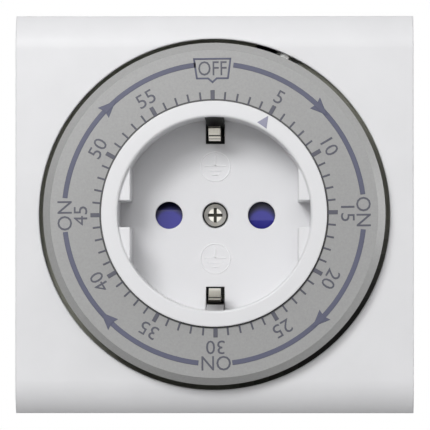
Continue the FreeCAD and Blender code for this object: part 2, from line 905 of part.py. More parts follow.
def plug_boss(body):
    """The boss that enters the wall socket: guide notches beside, earth grooves above and below."""
    sketch = new_sketch(body, "XZ_Plane", "-plug_length")
    circle(sketch, "plug_radius")
    pad(body, sketch, "plug_length + tub_floor / 2")
    sketch = new_sketch(body, "XZ_Plane", "tub_floor")
    circle(sketch, "plug_bore_radius")
    cut(body, sketch, "plug_length + tub_floor - plug_end_wall")
    sketch = new_sketch(body, "XZ_Plane")
    flat = "(rib_face - plug_clearance)"
    key = "(rib_gap - plug_clearance)"
    reach = "sqrt(recess_radius ^ 2 - rib_face ^ 2) + plug_clearance"
    beyond = "plug_radius + 1"
    for low, high in ((key, reach), (f"-({reach})", f"-{key}")):
        rectangle(sketch, flat, beyond, low, high)
        rectangle(sketch, f"-({beyond})", f"-{flat}", low, high)
    cut(body, sketch, "plug_length + 1")
    side = "earth_groove_width / 2"
    floor = "(plug_radius - earth_groove_depth)"
    strap = f"({floor} + earth_strip_wall + 2 * middle_gap)"
    for front, length, reach in (
        ("0", "plug_length - boss_lip", "(plug_radius + 1)"),
        ("tub_floor + 1", "tub_floor + 2", strap),
    ):
        sketch = new_sketch(body, "XZ_Plane", front)
        rectangle(sketch, f"-{side}", side, floor, reach)
        rectangle(sketch, f"-{side}", side, f"-{reach}", f"-{floor}")
        cut(body, sketch, length)
    sketch = new_sketch(body, "XZ_Plane", "-(plug_length - plug_end_wall - 1)")
    for x in ("pin_spacing / 2", "-pin_spacing / 2"):
        circle(sketch, "pin_seat_radius + pin_fit", x)
    cut(body, sketch, "plug_end_wall + 2")

    def rim(edge):
        return is_ring(edge, s.plug_radius, -s.plug_length)

    dress(body, "Chamfer", rim, Size="pin_rounding / 2")


def plug_pins():
    for side, sign in (("live", "-"), ("neutral", "")):
        body = new_body(f"{side}_plug_pin")
        tip = "(plug_length + pin_length)"
        inner = "(plug_length - plug_end_wall)"
        tail = "-(contact_base - strip_wall / 2)" if side == "neutral" else "-earth_cross"
        revolve(
            body,
            [
                ("0", tip),
                ("pin_radius - pin_rounding", tip),
                ("pin_radius", f"{tip} - pin_rounding"),
                ("pin_radius", "plug_length"),
                ("pin_seat_radius", "plug_length"),
                ("pin_seat_radius", inner),
                ("pin_collar_radius", inner),
                ("pin_collar_radius", f"{inner} - pin_collar"),
                ("pin_shank_radius", f"{inner} - pin_collar"),
                ("pin_shank_radius", tail),
                ("0", tail),
            ],
        )
        place(body, f"{sign}pin_spacing / 2")


def housing_screws():
    screws = []
    for n, (x, z) in enumerate(CORNERS):
        head = rod(f"screw_head_{n}", "screw_head_radius", "screw_sink - screw_head", "screw_sink", x, z)
        end = "screw_sink - screw_head / 2"
        shank = rod(f"screw_shank_{n}", "screw_radius", end, "screw_sink + screw_length", x, z, SHANK_SIDES)
        screws.append(fuse(f"screw_{n}", head, shank))
    made = doc.addObject("Part::Compound", "housing_screws")
    made.Links = screws
    keep(made, "housing_screws")


# Gear train: involute teeth, thinned for backlash, in mesh at rest


def arbor_places():
    """Numbers of the motor's axis and the two arbors."""
    return [(number(x), number(z)) for x, z in (MOTOR_AXIS, FIRST_ARBOR, SECOND_ARBOR)]


def heading(here, there):
    return math.atan2(there[1] - here[1], there[0] - here[0])


def involute(angle):
    return math.tan(angle) - angle


def half_tooth(radius, teeth, module):
    """Half the angle that a tooth takes at this radius."""
    pressure = math.radians(20)
    pitch_radius = teeth * module / 2
    base_radius = pitch_radius * math.cos(pressure)
    half = math.pi / 2 / teeth * (1 - 2 * s.backlash_share)
    if radius <= base_radius:
        return half + involute(pressure)
    return half + involute(pressure) - involute(math.acos(base_radius / radius))


def toothed(teeth, module, wall, back, centre, turn, addendum, steps):
    """A disc with involute teeth. One tooth points along turn, an angle from X towards Z."""
    teeth = round(teeth)
    pitch_radius = teeth * module / 2
    low = pitch_radius - 1.25 * module
    high = pitch_radius + addendum * module
    radii = [low + (high - low) * n / steps for n in range(steps + 1)]
    flank = [(radius, half_tooth(radius, teeth, module)) for radius in radii]
    points = []
    for tooth in range(teeth):
        middle = turn + 2 * math.pi * tooth / teeth
        for radius, half in [(r, -h) for r, h in flank] + flank[::-1]:
            angle = middle + half
            x = centre[0] + radius * math.cos(angle)
            z = centre[1] + radius * math.sin(angle)
            points.append(at(x, back, z))
    face = Part.Face(Part.makePolygon(points + points[:1]))
    return face.extrude(FreeCAD.Vector(0, -wall, 0))


def pin(radius, back, front, centre):
    return Part.makeCylinder(
        radius, front - back, at(centre[0], back, centre[1]), FreeCAD.Vector(0, -1, 0)
    )


def level(n):
    """How far forward the back of the nth wheel stands, counted from the chassis plate."""
    return s.chassis_front + (n + 1) * s.wheel_gap + n * s.wheel_wall


def compound_wheel(label, n, centre, driver, driven):
    """A fine wheel at level n that a pinion at driver turns, with a pinion that turns driven."""
    facing = heading(centre, driver) + math.pi / s.fine_wheel_teeth
    shape = toothed(
        s.fine_wheel_teeth, s.fine_module, s.wheel_wall, level(n), centre, facing, 0.8, 1
    )
    front = level(n) + s.wheel_wall
    if driven:
        length = s.wheel_gap + s.wheel_wall
        towards = heading(centre, driven)
        shape = shape.fuse(
            toothed(
                s.fine_pinion_teeth, s.fine_module, length, front, centre, towards, 0.9, 2
            )
        )
        front += length
    shape = shape.cut(pin(s.arbor_radius + s.arbor_gap, level(n) - 1, front + 1, centre))
    return solid_of(label, shape)


def gear_train():
    motor, first, second = arbor_places()
    compound_wheel("first_gear", 0, first, motor, second)
    compound_wheel("second_gear", 1, second, first, first)
    compound_wheel("third_gear", 2, first, second, second)
    compound_wheel("fourth_gear", 3, second, first, None)

    ring_back = s.ring_front - s.ring_wall
    middle = (0.0, 0.0)
    shape = toothed(
        s.drive_teeth, s.ring_module, s.ring_wall, ring_back, second, heading(second, middle), 1.0, 3
    )
    bore = pin(s.arbor_radius + s.arbor_gap, ring_back - 1, s.ring_front + 1, second)
    solid_of("drive_pinion", shape.cut(bore))

    facing = heading(middle, second) + math.pi / s.ring_teeth
    shape = toothed(s.ring_teeth, s.ring_module, s.ring_wall, ring_back, middle, facing, 0.8, 1)
    shape = shape.cut(pin(s.sleeve_radius + s.pin_fit, ring_back - 1, s.ring_front + 1, middle))
    lug_width = s.sleeve_slot_width - 2 * s.bezel_gap
    lug_start = s.pot_radius + 3 * s.sleeve_gap
    lug_length = s.sleeve_radius + 1 - lug_start
    for n in range(3):
        lug = Part.makeBox(
            lug_width, s.ring_wall, lug_length, FreeCAD.Vector(-lug_width / 2, -s.ring_front, lug_start)
        )
        lug.rotate(FreeCAD.Vector(), FreeCAD.Vector(0, 1, 0), 120 * n)
        shape = shape.fuse(lug)
    solid_of("dial_gear", shape)


def clutch_washer():
    """A friction washer with three arms, between the slow wheel and the drive pinion."""
    centre = arbor_places()[2]
    back = level(3) + s.wheel_wall
    front = s.ring_front - s.ring_wall
    shape = pin(s.clutch_radius / 2, back, front, centre)
    for n in range(3):
        arm = Part.makeBox(
            1.2, front - back, s.clutch_radius, FreeCAD.Vector(centre[0] - 0.6, -front, centre[1])
        )
        arm.rotate(at(centre[0], back, centre[1]), FreeCAD.Vector(0, 1, 0), 120 * n)
        shape = shape.fuse(arm)
    bore = pin(s.arbor_radius + s.arbor_gap, back - 1, front + 1, centre)
    solid_of("clutch_washer", shape.cut(bore))


def dial_retaining_ring():
    """An open spring ring pressed on the dial's sleeve, behind its gear."""
    front = s.ring_front - s.ring_wall
    back = front - s.clip_wall
    middle = (0.0, 0.0)
    inner = s.sleeve_radius + s.pin_fit
    shape = pin(inner + s.clip_width, back + s.pin_fit, front - s.pin_fit, middle)
    shape = shape.cut(pin(inner, back - 1, front + 1, middle))
    mouth = Part.makeBox(8, 4, 8, FreeCAD.Vector(-4, -front - 1, inner - 4))
    solid_of("dial_retaining_ring", shape.cut(mouth))


def gear_arbors():
    places = arbor_places()[1:]
    back = s.chassis_front - s.chassis_wall
    front = s.tray_front - s.tray_wall / 2
    pins = [pin(s.arbor_radius, back, front, place_) for place_ in places]
    solid_of("gear_arbors", Part.Compound(pins))


def chassis_plate():
    body = new_body("chassis_plate")
    sketch = new_sketch(body, "XZ_Plane", "chassis_front - chassis_wall")
    corners = [
        ("chassis_reach", "chassis_end"),
        ("chassis_reach", "chassis_corner"),
        ("chassis_corner", "chassis_reach"),
        ("chassis_end", "chassis_reach"),
        ("chassis_end", "chassis_inner"),
        ("chassis_inner", "chassis_end"),
    ]
    outline(sketch, [(f"-{x}", f"-{z}") for x, z in corners])
    pad(body, sketch, "chassis_wall")
    dress(body, "Fillet", lambda edge: runs_along(edge, 1), Radius="chassis_wall")
    sketch = new_sketch(body, "XZ_Plane", "chassis_front")
    for x, z in CHASSIS_POSTS:
        circle(sketch, "small_screw_radius + screw_clearance", x, z)
    for x, z in (FIRST_ARBOR, SECOND_ARBOR):
        circle(sketch, "arbor_radius + pin_fit", x, z)
    circle(sketch, "(fine_pinion_teeth + 3) * fine_module / 2", *MOTOR_AXIS)
    cut(body, sketch, "chassis_wall + 1")


def small_screw(name, seat, x, z):
    """A screw whose head lies behind seat, with its shank forward of it."""
    head = rod(name + "_head", "small_head_radius", f"{seat} - small_head", seat, x, z, HEAD_SIDES)
    start = f"{seat} - small_head / 2"
    end = f"{seat} + small_screw_length"
    shank = rod(name + "_shank", "small_screw_radius", start, end, x, z, SHANK_SIDES)
    return fuse(name, head, shank)


def screw_set(label, seat, places):
    screws = [small_screw(f"{label}_{n}", seat, x, z) for n, (x, z) in enumerate(places)]
    made = doc.addObject("Part::Compound", label)
    made.Links = screws
    return keep(made, label)


# Synchronous motor behind the chassis plate


def motor():
    axis = MOTOR_AXIS
    front = "(chassis_front - chassis_wall)"
    cover_back = f"({front} - motor_wall)"
    back = f"({cover_back} - motor_depth)"

    cover = new_body("motor_cover")
    sketch = new_sketch(cover, "XZ_Plane", cover_back)
    circle(sketch, "motor_radius", *axis)
    pad(cover, sketch, "motor_wall")
    sketch = new_sketch(cover, "XZ_Plane", cover_back)
    ear = "small_head_radius * 1.4"
    near_end = f"(post_near - {ear} / 2)"
    far_end = f"(post_far + {ear} / 2)"
    outline(
        sketch,
        [
            (f"-{far_end}", f"-{near_end}"),
            (f"-{far_end}", f"-(post_near + {ear})"),
            (f"-(post_near + {ear})", f"-{far_end}"),
            (f"-{near_end}", f"-{far_end}"),
            (f"-{near_end}", f"-(post_far - {ear})"),
            (f"-(post_far - {ear})", f"-{near_end}"),
        ],
    )
    pad(cover, sketch, "motor_wall")
    sketch = new_sketch(cover, "XZ_Plane", front)
    for x, z in CHASSIS_POSTS:
        circle(sketch, "small_screw_radius + screw_clearance", x, z)
    circle(sketch, "rotor_bush_radius", *axis)
    cut(cover, sketch, "motor_wall + 1")
    can = new_body("motor_can")
    hole = "(rotor_shaft_radius + rotor_gap)"
    inside = "(motor_radius - motor_wall)"
    revolve(
        can,
        [
            (hole, f"-{back}"),
            ("motor_radius", f"-{back}"),
            ("motor_radius", f"-{cover_back}"),
            (inside, f"-{cover_back}"),
            (inside, f"-({back} + motor_wall)"),
            (hole, f"-({back} + motor_wall)"),
        ],
    )
    coil_start = f"({back} + motor_wall + rotor_gap)"
    coil_end = f"({cover_back} - rotor_gap)"
    core = "(coil_core_radius + motor_wall)"
    bobbin = new_body("coil_bobbin")
    revolve(
        bobbin,
        [
            ("coil_core_radius", f"-{coil_start}"),
            (f"{inside} - rotor_gap", f"-{coil_start}"),
            (f"{inside} - rotor_gap", f"-({coil_start} + motor_wall)"),
            (core, f"-({coil_start} + motor_wall)"),
            (core, f"-({coil_end} - motor_wall)"),
            (f"{inside} - rotor_gap", f"-({coil_end} - motor_wall)"),
            (f"{inside} - rotor_gap", f"-{coil_end}"),
            ("coil_core_radius", f"-{coil_end}"),
        ],
    )
    winding = new_body("coil_winding")
    revolve(
        winding,
        [
            (core, f"-({coil_start} + motor_wall)"),
            (f"{inside} - motor_wall", f"-({coil_start} + motor_wall)"),
            (f"{inside} - motor_wall", f"-({coil_end} - motor_wall)"),
            (core, f"-({coil_end} - motor_wall)"),
        ],
    )
    magnet = new_body("rotor_magnet")
    reach = "(coil_core_radius - rotor_gap)"
    revolve(
        magnet,
        [
            ("rotor_shaft_radius", f"-({coil_start} + motor_wall)"),
            (reach, f"-({coil_start} + motor_wall)"),
            (reach, f"-({coil_end} - motor_wall)"),
            ("rotor_shaft_radius", f"-({coil_end} - motor_wall)"),
        ],
    )
    for body in (can, bobbin, winding, magnet):
        place(body, "-motor_place", "0", "-motor_place")
    rotor_pinion()


def rotor_pinion():
    centre, first, _ = arbor_places()
    back = s.chassis_front - s.chassis_wall - s.motor_wall - s.motor_depth
    shaft = pin(s.rotor_shaft_radius, back + s.rotor_gap, level(0) + s.wheel_wall, centre)
    teeth = toothed(
        s.fine_pinion_teeth,
        s.fine_module,
        s.wheel_wall + s.wheel_gap,
        level(0) - s.wheel_gap,
        centre,
        heading(centre, first),
        0.9,
        2,
    )
    solid_of("rotor_pinion", shaft.fuse(teeth))


# Contacts and their carrier behind the socket

EARTH_CLIP_BENDS = 9


def contact_carrier():
    body = new_body("contact_carrier")
    sketch = new_sketch(body, "XZ_Plane", "carrier_back")
    circle(sketch, "carrier_radius")
    pad(body, sketch, "carrier_front - carrier_back")
    sketch = new_sketch(body, "XZ_Plane", "carrier_front - shutter_gap")
    circle(sketch, "shutter_post_radius")
    pad(body, sketch, "rim_front - recess_depth - recess_floor - carrier_front")
    sketch = new_sketch(body, "XZ_Plane", "carrier_front - carrier_wall")
    half_width = "chamber_width / 2"
    half_height = "chamber_height / 2"
    for x in ("pin_spacing / 2", "-pin_spacing / 2"):
        rectangle(sketch, f"{x} - {half_width}", f"{x} + {half_width}", f"-{half_height}", half_height)
    cut(body, sketch, "carrier_front - carrier_back")
    sketch = new_sketch(body, "XZ_Plane", "rim_front")
    for x in ("pin_spacing / 2", "-pin_spacing / 2"):
        circle(sketch, "pin_hole_radius", x)
    circle(sketch, "middle_screw_radius + middle_gap")
    cut(body, sketch, "rim_front")
    sketch = new_sketch(body, "XZ_Plane", "rim_front")
    half = "earth_slot_width / 2"
    inner = "(earth_leg - earth_strip_wall * 2)"
    rectangle(sketch, f"-{half}", half, inner, "carrier_radius + 1")
    rectangle(sketch, f"-{half}", half, "-(carrier_radius + 1)", f"-{inner}")
    cut(body, sketch, "rim_front")
    earth_ramps(body)


def earth_ramps(body):
    """Sloped backs behind the earth clips, which stand up through the socket's slots."""
    inner = "(earth_leg + earth_strip_wall / 2 + bezel_gap)"
    outer = "(recess_radius + earth_groove_cut - ramp_gap)"
    foot = "(carrier_front - ramp_foot)"
    base = [
        (f"-{foot}", inner),
        ("-carrier_front", inner),
        ("-carrier_front", "carrier_radius - ramp_gap"),
        (f"-{foot}", "carrier_radius - ramp_gap"),
    ]
    slope = [
        ("-(carrier_front - ramp_gap)", inner),
        ("-ramp_low", inner),
        ("-ramp_high", outer),
        ("-(ramp_low - ramp_gap)", outer),
        ("-(carrier_front - ramp_gap)", "carrier_radius - ramp_gap"),
    ]
    for points, width in ((base, "earth_slot_width"), (slope, "earth_slot_width - 2 * ramp_gap")):
        sketch = new_sketch(body, "YZ_Plane")
        outline(sketch, points)
        outline(sketch, [(y, f"-({z})") for y, z in points])
        pad(body, sketch, width, across=True)


def mirrored(points):
    """Points of x, depth and z, and their mirror images below the middle, as one bend line."""
    below = [(x, depth, -z) for x, depth, z in reversed(points)]
    return [at(*point) for point in points + below]


def strap(label, points, width, plate_radius, depth):
    """A bent earth strip with a wider plate that the centre screw passes through."""
    wall = s.earth_strip_wall
    shape = bent_strip(mirrored(points), wall, width, FreeCAD.Vector(1, 0, 0))
    middle = (0.0, 0.0)
    plate = pin(plate_radius, depth - wall / 2, depth + wall / 2, middle)
    hole = pin(s.middle_screw_radius + s.middle_gap, depth - 1, depth + 1, middle)
    return solid_of(label, shape.fuse(plate).cut(hole))


def earth_strips():
    leg = s.earth_leg
    width = s.earth_clip_width
    floor = s.rim_front - s.recess_depth
    shares = [1 - n / EARTH_CLIP_BENDS for n in range(EARTH_CLIP_BENDS + 1)]
    spring_line = [
        (floor + s.earth_clip_rise * share, leg - s.earth_clip_bow * math.sin(math.pi * share**1.3))
        for share in shares
    ]
    spring_line.append((s.earth_cross, leg))
    points = [(-width / 2, depth, z) for depth, z in spring_line]
    strap("earth_bracket", points, width, s.nut_side / 2, s.earth_cross)

    width = s.earth_groove_width - 2 * s.middle_gap
    floor_gap = s.plug_radius - s.earth_groove_depth + s.middle_gap
    leg = floor_gap + s.earth_strip_wall / 2
    cross = s.earth_cross - s.earth_strip_wall
    end = -(s.plug_length - s.plug_end_wall)
    points = [(-width / 2, end, leg), (-width / 2, cross, leg)]
    strap("plug_earth_strap", points, width, s.nut_side / 2, cross)


def socket_contacts():
    """Folded clips whose leaves grip a plug's pin, flared at the mouth."""
    wall = s.strip_wall
    grip = s.pin_radius + wall / 2
    flare = s.contact_flare
    for label, side in (("live_socket_contact", -1), ("neutral_socket_contact", 1)):
        start = side * s.pin_spacing / 2 - s.contact_width / 2
        points = [
            (start, s.contact_mouth, grip + flare),
            (start, s.contact_mouth - s.contact_lip, grip - s.contact_pinch),
            (start, s.contact_mouth - s.contact_leaf, grip + flare / 3),
            (start, s.contact_base + s.contact_step, grip + flare),
            (start, s.contact_base, grip + flare / 2),
        ]
        solid_of(label, bent_strip(mirrored(points), wall, s.contact_width, FreeCAD.Vector(1, 0, 0)))


def safety_shutter():
    """Two lobes behind the pin holes, with ramps that a pair of pins pushes aside."""
    back = s.carrier_front + s.shutter_gap
    front = back + s.shutter_wall
    middle = (0.0, 0.0)
    corner = at(-s.pin_spacing / 2, front, -s.shutter_hub_radius / 2)
    arm = Part.makeBox(s.pin_spacing, s.shutter_wall, s.shutter_hub_radius, corner)
    shape = arm.fuse(pin(s.shutter_hub_radius, back, front, middle))
    for side in (-1, 1):
        lobe = pin(s.shutter_lobe_radius, back, front, (side * s.pin_spacing / 2, 0.0))
        shape = shape.fuse(lobe)
    reach = s.shutter_lobe_radius + s.shutter_gap
    start = s.pin_spacing / 2 - reach
    over = front + s.shutter_gap / 2
    crest = at(start, over, -s.shutter_crest)
    foot = at(start, front - s.shutter_ramp, -reach)
    side_line = Part.makePolygon([crest, at(start, over, -reach), foot, crest])
    for turn in (0, 180):
        ramp = Part.Face(side_line).extrude(FreeCAD.Vector(2 * reach, 0, 0))
        ramp.rotate(FreeCAD.Vector(), FreeCAD.Vector(0, 1, 0), turn)
        shape = shape.cut(ramp)
    bore = pin(s.shutter_post_radius + s.bezel_gap, back - 1, front + 1, middle)
    solid_of("safety_shutter", shape.cut(bore).removeSplitter())


def shutter_spring():
    """A bent leaf over the lobe that rises when a plug opens the shutter."""
    back = s.carrier_front + s.shutter_gap
    width = s.shutter_wall - s.shutter_gap
    tip = s.shutter_lobe_radius + s.leaf_wall
    crown = tip + s.shutter_spring_rise
    line = [
        (s.pin_spacing / 2 - 6.5, crown - 1.8),
        (s.pin_spacing / 2 - 4.3, crown),
        (s.pin_spacing / 2 - 2.3, crown - 2.0),
        (s.pin_spacing / 2 - 1.9, tip),
    ]
    points = [at(x, back, z) for x, z in line]
    shape = bent_strip(points, s.leaf_wall, width, FreeCAD.Vector(0, -1, 0))
    solid_of("shutter_spring", shape)


# Switch that the dial's cam works


def along(u, v):
    """Numbers of x and z of a place u along the follower's arm and v out from the dial's axis."""
    angle = math.radians(s.follower_angle)
    x = u * math.cos(angle) + v * math.sin(angle)
    z = v * math.cos(angle) - u * math.sin(angle)
    return x, z


def switch_prism(corners, back, front):
    points = [at(x, back, z) for x, z in (along(u, v) for u, v in corners)]
    face = Part.Face(Part.makePolygon(points + points[:1]))
    return face.extrude(FreeCAD.Vector(0, back - front, 0))


def switch_block(along_arm, outward, back, front):
    """A block between two places along the arm and two out from the dial's axis."""
    (a, b), (c, d) = along_arm, outward
    return switch_prism([(a, c), (b, c), (b, d), (a, d)], back, front)


def follower_lever():
    middle = s.tooth_radius
    back = s.follower_front - s.follower_wall
    half = s.follower_arm_width / 2
    pivot = along(s.follower_arm, middle)
    reach = (-s.follower_tail, s.follower_arm)
    arm = switch_block(reach, (middle - half, middle + half), back, s.follower_front)
    place_of = s.nose_place
    tip = s.leaf_radius - s.leaf_wall / 2
    corners = [(place_of - s.nose_half, middle), (place_of + s.nose_half, middle), (place_of, tip)]
    nose = switch_prism(corners, back, s.follower_front)
    inner = s.cam_radius + s.follower_gap
    edge = s.tooth_width / 2
    corners = [(s.tooth_slant - edge, inner), (edge, inner), (edge, middle + half), (-edge, middle + half)]
    tooth = switch_prism(corners, back, s.follower_tooth_front)
    hub = pin(s.follower_pivot_radius * 1.9, back, s.follower_front, pivot)
    hole = pin(s.follower_pivot_radius + s.arbor_gap, back - 1, s.follower_front + 1, pivot)
    solid_of("follower_lever", arm.fuse([nose, tooth, hub]).cut(hole))


def tab_start(label):
    """Where a contact's solder tab starts along the switch base, apart from the other's."""
    from_end = 0.3 if label == "fixed_contact" else 0.6 + s.tab_width
    return s.switch_base_start + from_end


def switch():
    front = s.follower_front
    back = front - s.leaf_width
    tray_back = s.tray_front - s.tray_wall
    start, end = s.switch_base_start, s.switch_base_end
    inner = s.switch_base_inner
    base = switch_block((start, end), (inner, inner + s.switch_base_width), back - 1, tray_back)
    gap = s.pin_fit
    leaf = s.leaf_radius
    fixed = s.fixed_radius
    for radius in (leaf, fixed):
        half = s.leaf_wall / 2 + gap
        base = base.cut(
            switch_block((start - 1, end + 1), (radius - half, radius + half), back - 2, front + gap)
        )
    solid_of("switch_base", base)
    for label, radius, free in (("moving_contact", leaf, 1), ("fixed_contact", fixed, -1)):
        across = (radius - s.leaf_wall / 2, radius + s.leaf_wall / 2)
        strip = switch_block((s.leaf_over, end + s.leaf_over), across, back, front)
        first = tab_start(label)
        tab = switch_block((first, first + s.tab_width), across, back - s.tab_length, back)
        meet = (leaf + fixed - free * gap) / 2
        middle = (front + back) / 2
        half = s.rivet_width / 2
        reach = (s.leaf_over * 2, s.leaf_over * 2 + s.rivet_width)
        rivet = switch_block(reach, (radius, meet), middle - half, middle + half)
        solid_of(label, strip.fuse([rivet, tab]))
    away = end + s.spring_reach
    high = inner + s.switch_base_width - 1
    points = [along(end + s.leaf_wall, high), along(away, high), along(away, inner - s.leaf_over)]
    width = s.spring_width
    line = [at(x, back + width, z) for x, z in points]
    solid_of("follower_spring", bent_strip(line, s.leaf_wall, width, FreeCAD.Vector(0, -1, 0)))


# Insulated wires, as straight runs joined by arcs


def wire_section(start, towards):
    """A six-sided outline round the start of a wire."""
    side = towards.cross(FreeCAD.Vector(0, 0.6, 0.8)).normalize() * s.lead_radius
    corners = [start + FreeCAD.Rotation(towards, 60 * n).multVec(side) for n in range(6)]
    return Part.makePolygon(corners + corners[:1])


def lead(points):
    """A wire along points of x, depth and z."""
    route = [at(*point) for point in points]
    runs = [(b - a).Length for a, b in zip(route, route[1:])]
    edges = []
    start = route[0]
    for n in range(1, len(route) - 1):
        before = (route[n - 1] - route[n]).normalize()
        after = (route[n + 1] - route[n]).normalize()
        half_turn = (math.pi - before.getAngle(after)) / 2
        reach = 0.45 * min(runs[n - 1], runs[n])
        bend = reach / math.tan(half_turn)
        entry = route[n] + before * reach
        leave = route[n] + after * reach
        middle = route[n] + (before + after).normalize() * (bend / math.cos(half_turn) - bend)
        edges.append(Part.LineSegment(start, entry).toShape())
        edges.append(Part.Arc(entry, middle, leave).toShape())
        start = leave
    edges.append(Part.LineSegment(start, route[-1]).toShape())
    section = wire_section(route[0], route[1] - route[0])
    return Part.Wire(edges).makePipeShell([section], True, False)


def tab_end(label, radius):
    """Where a wire meets the solder tab of a contact, as numbers of x, depth and z."""
    x, z = along(tab_start(label) + s.tab_width / 2, radius)
    return x, s.follower_front - s.leaf_width - s.tab_length, z


def leads():
    half = s.pin_spacing / 2
    behind = (s.carrier_back + s.tub_floor) / 2 - 0.4
    base = s.contact_base - s.strip_wall / 2
    aside = s.pin_radius
    x, depth, z = tab_end("fixed_contact", s.fixed_radius)
    to_switch = [
        (-half - s.pin_shank_radius, behind, 0.0),
        (-half - 12.0, behind, 1.0),
        (-half - 10.0, behind + 11.0, 27.0),
        (half - 1.0, behind + 17.0, 31.5),
        (x, depth - 8.0, z),
        (x, depth, z),
    ]
    solid_of("live_lead", lead(to_switch))
    x, depth, z = tab_end("moving_contact", s.leaf_radius)
    from_switch = [
        (-half, base, aside),
        (-half, behind, aside),
        (-half - 1.5, behind + 0.3, 22.5),
        (half - 3.0, behind + 11.0, 26.0),
        (x, depth - 8.0, z),
        (x, depth, z),
    ]
    solid_of("load_lead", lead(from_switch))
    middle = s.motor_place
    can_back = s.chassis_front - s.chassis_wall - s.motor_wall - s.motor_depth
    to_load = [
        (-middle + 4.5, can_back, -middle + 3.0),
        (-middle + 4.5, behind, -middle + 3.0),
        (-half, behind, -aside),
        (-half, base, -aside),
    ]
    to_neutral = [
        (-middle + 5.0, can_back, -middle - 3.0),
        (-middle + 5.0, behind, -middle - 3.0),
        (half, behind, -middle),
        (half, behind, -s.pin_shank_radius),
    ]
    solid_of("motor_leads", Part.Compound([lead(to_load), lead(to_neutral)]))


front_housing()
rear_housing()
plug_pins()
housing_screws()
socket_insert()
centre_screw()
centre_nut()
dial_ring()
mechanism_frame()
gear_train()
clutch_washer()
dial_retaining_ring()
gear_arbors()
chassis_plate()
screw_set("chassis_screws", "(chassis_front - chassis_wall - motor_wall)", CHASSIS_POSTS)
screw_set("frame_screws", "(tray_front - tray_wall)", STUDS)
motor()
contact_carrier()
earth_strips()
socket_contacts()
safety_shutter()
shutter_spring()
follower_lever()
switch()
leads()

doc.recompute()
failed = [thing.Name for thing in doc.Objects if {"Invalid", "Error"} & set(thing.State)]
if failed:
    raise RuntimeError(f"these objects failed: {failed}")
for piece in pieces:
    if piece.Shape.isNull() or not piece.Shape.isValid():
        raise RuntimeError(f"{piece.Label} has no valid shape")

os.makedirs("parts", exist_ok=True)
for piece in pieces:
    piece.Shape.exportStep(f"parts/{piece.Label}.step")
    print(piece.Label, len(piece.Shape.Solids), "solid,", round(piece.Shape.Volume, 1), "mm3")
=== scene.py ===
import json
import math

import bmesh
import bpy
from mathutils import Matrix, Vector


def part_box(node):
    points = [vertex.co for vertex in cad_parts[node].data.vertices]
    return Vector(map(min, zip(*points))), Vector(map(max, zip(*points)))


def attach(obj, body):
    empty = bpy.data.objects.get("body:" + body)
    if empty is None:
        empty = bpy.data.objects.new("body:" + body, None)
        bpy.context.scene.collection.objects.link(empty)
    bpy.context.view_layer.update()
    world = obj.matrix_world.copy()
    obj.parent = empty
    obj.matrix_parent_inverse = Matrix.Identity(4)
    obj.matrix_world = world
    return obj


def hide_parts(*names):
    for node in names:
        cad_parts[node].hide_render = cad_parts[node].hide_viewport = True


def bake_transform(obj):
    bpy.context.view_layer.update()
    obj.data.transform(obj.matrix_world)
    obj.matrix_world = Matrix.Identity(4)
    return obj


# The looks of a plug-in countdown timer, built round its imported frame.
# The scene is in metres. Lengths below are in millimetres, except in the shaders' bump and in the stage.

MM = 0.001

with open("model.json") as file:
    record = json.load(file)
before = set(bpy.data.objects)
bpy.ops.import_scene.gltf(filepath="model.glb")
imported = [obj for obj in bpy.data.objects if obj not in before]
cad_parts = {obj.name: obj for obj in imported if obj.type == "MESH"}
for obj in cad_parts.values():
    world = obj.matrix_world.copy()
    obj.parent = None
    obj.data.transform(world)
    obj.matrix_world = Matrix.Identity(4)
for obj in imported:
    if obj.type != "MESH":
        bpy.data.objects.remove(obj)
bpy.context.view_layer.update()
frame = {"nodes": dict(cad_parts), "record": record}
nodes = frame["nodes"]


def depth_of(name):
    """How far forward of the back face a node reaches, in mm."""
    return -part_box(name)[0][1] / MM


RIM_FRONT = depth_of("socket_insert")
DIAL_FRONT = depth_of("dial_ring")
PLATE_FRONT = depth_of("front_housing")
SCREW_FRONT = depth_of("centre_screw")
RECESS_DEPTH = 17.5
FLOOR_DEPTH = RIM_FRONT - RECESS_DEPTH
BEZEL_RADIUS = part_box("socket_insert")[1][0] / MM
PIN_HOLES = (-9.5, 9.5)


# Materials


def new_material(name):
    material = bpy.data.materials.new(name)
    material.use_nodes = True
    return material, material.node_tree, material.node_tree.nodes["Principled BSDF"]


def node(tree, kind, **values):
    made = tree.nodes.new(kind)
    for key, value in values.items():
        if key in made.inputs:
            made.inputs[key].default_value = value
        else:
            setattr(made, key, value)
    return made


def object_coordinates(tree):
    return tree.nodes.new("ShaderNodeTexCoord").outputs["Object"]


def calculate(tree, operation, first, second):
    """A math node's result. The second value may be a number."""
    made = node(tree, "ShaderNodeMath", operation=operation)
    tree.links.new(first, made.inputs[0])
    if isinstance(second, float):
        made.inputs[1].default_value = second
    else:
        tree.links.new(second, made.inputs[1])
    return made.outputs["Value"]


def noise(tree, scale, detail=2.0, roughness=0.5):
    made = node(tree, "ShaderNodeTexNoise", Scale=scale, Detail=detail, Roughness=roughness)
    tree.links.new(object_coordinates(tree), made.inputs["Vector"])
    return made.outputs["Fac"]


def spread(tree, value, low, high):
    """Maps a value of 0 to 1 to the range from low to high."""
    made = tree.nodes.new("ShaderNodeMapRange")
    made.inputs["To Min"].default_value = low
    made.inputs["To Max"].default_value = high
    tree.links.new(value, made.inputs["Value"])
    return made.outputs["Result"]


def ramp(tree, value, stops):
    made = tree.nodes.new("ShaderNodeValToRGB")
    elements = made.color_ramp.elements
    while len(elements) < len(stops):
        elements.new(0.5)
    for element, (place, colour) in zip(elements, stops):
        element.position = place
        element.color = (*colour, 1)
    tree.links.new(value, made.inputs["Fac"])
    return made.outputs["Color"]


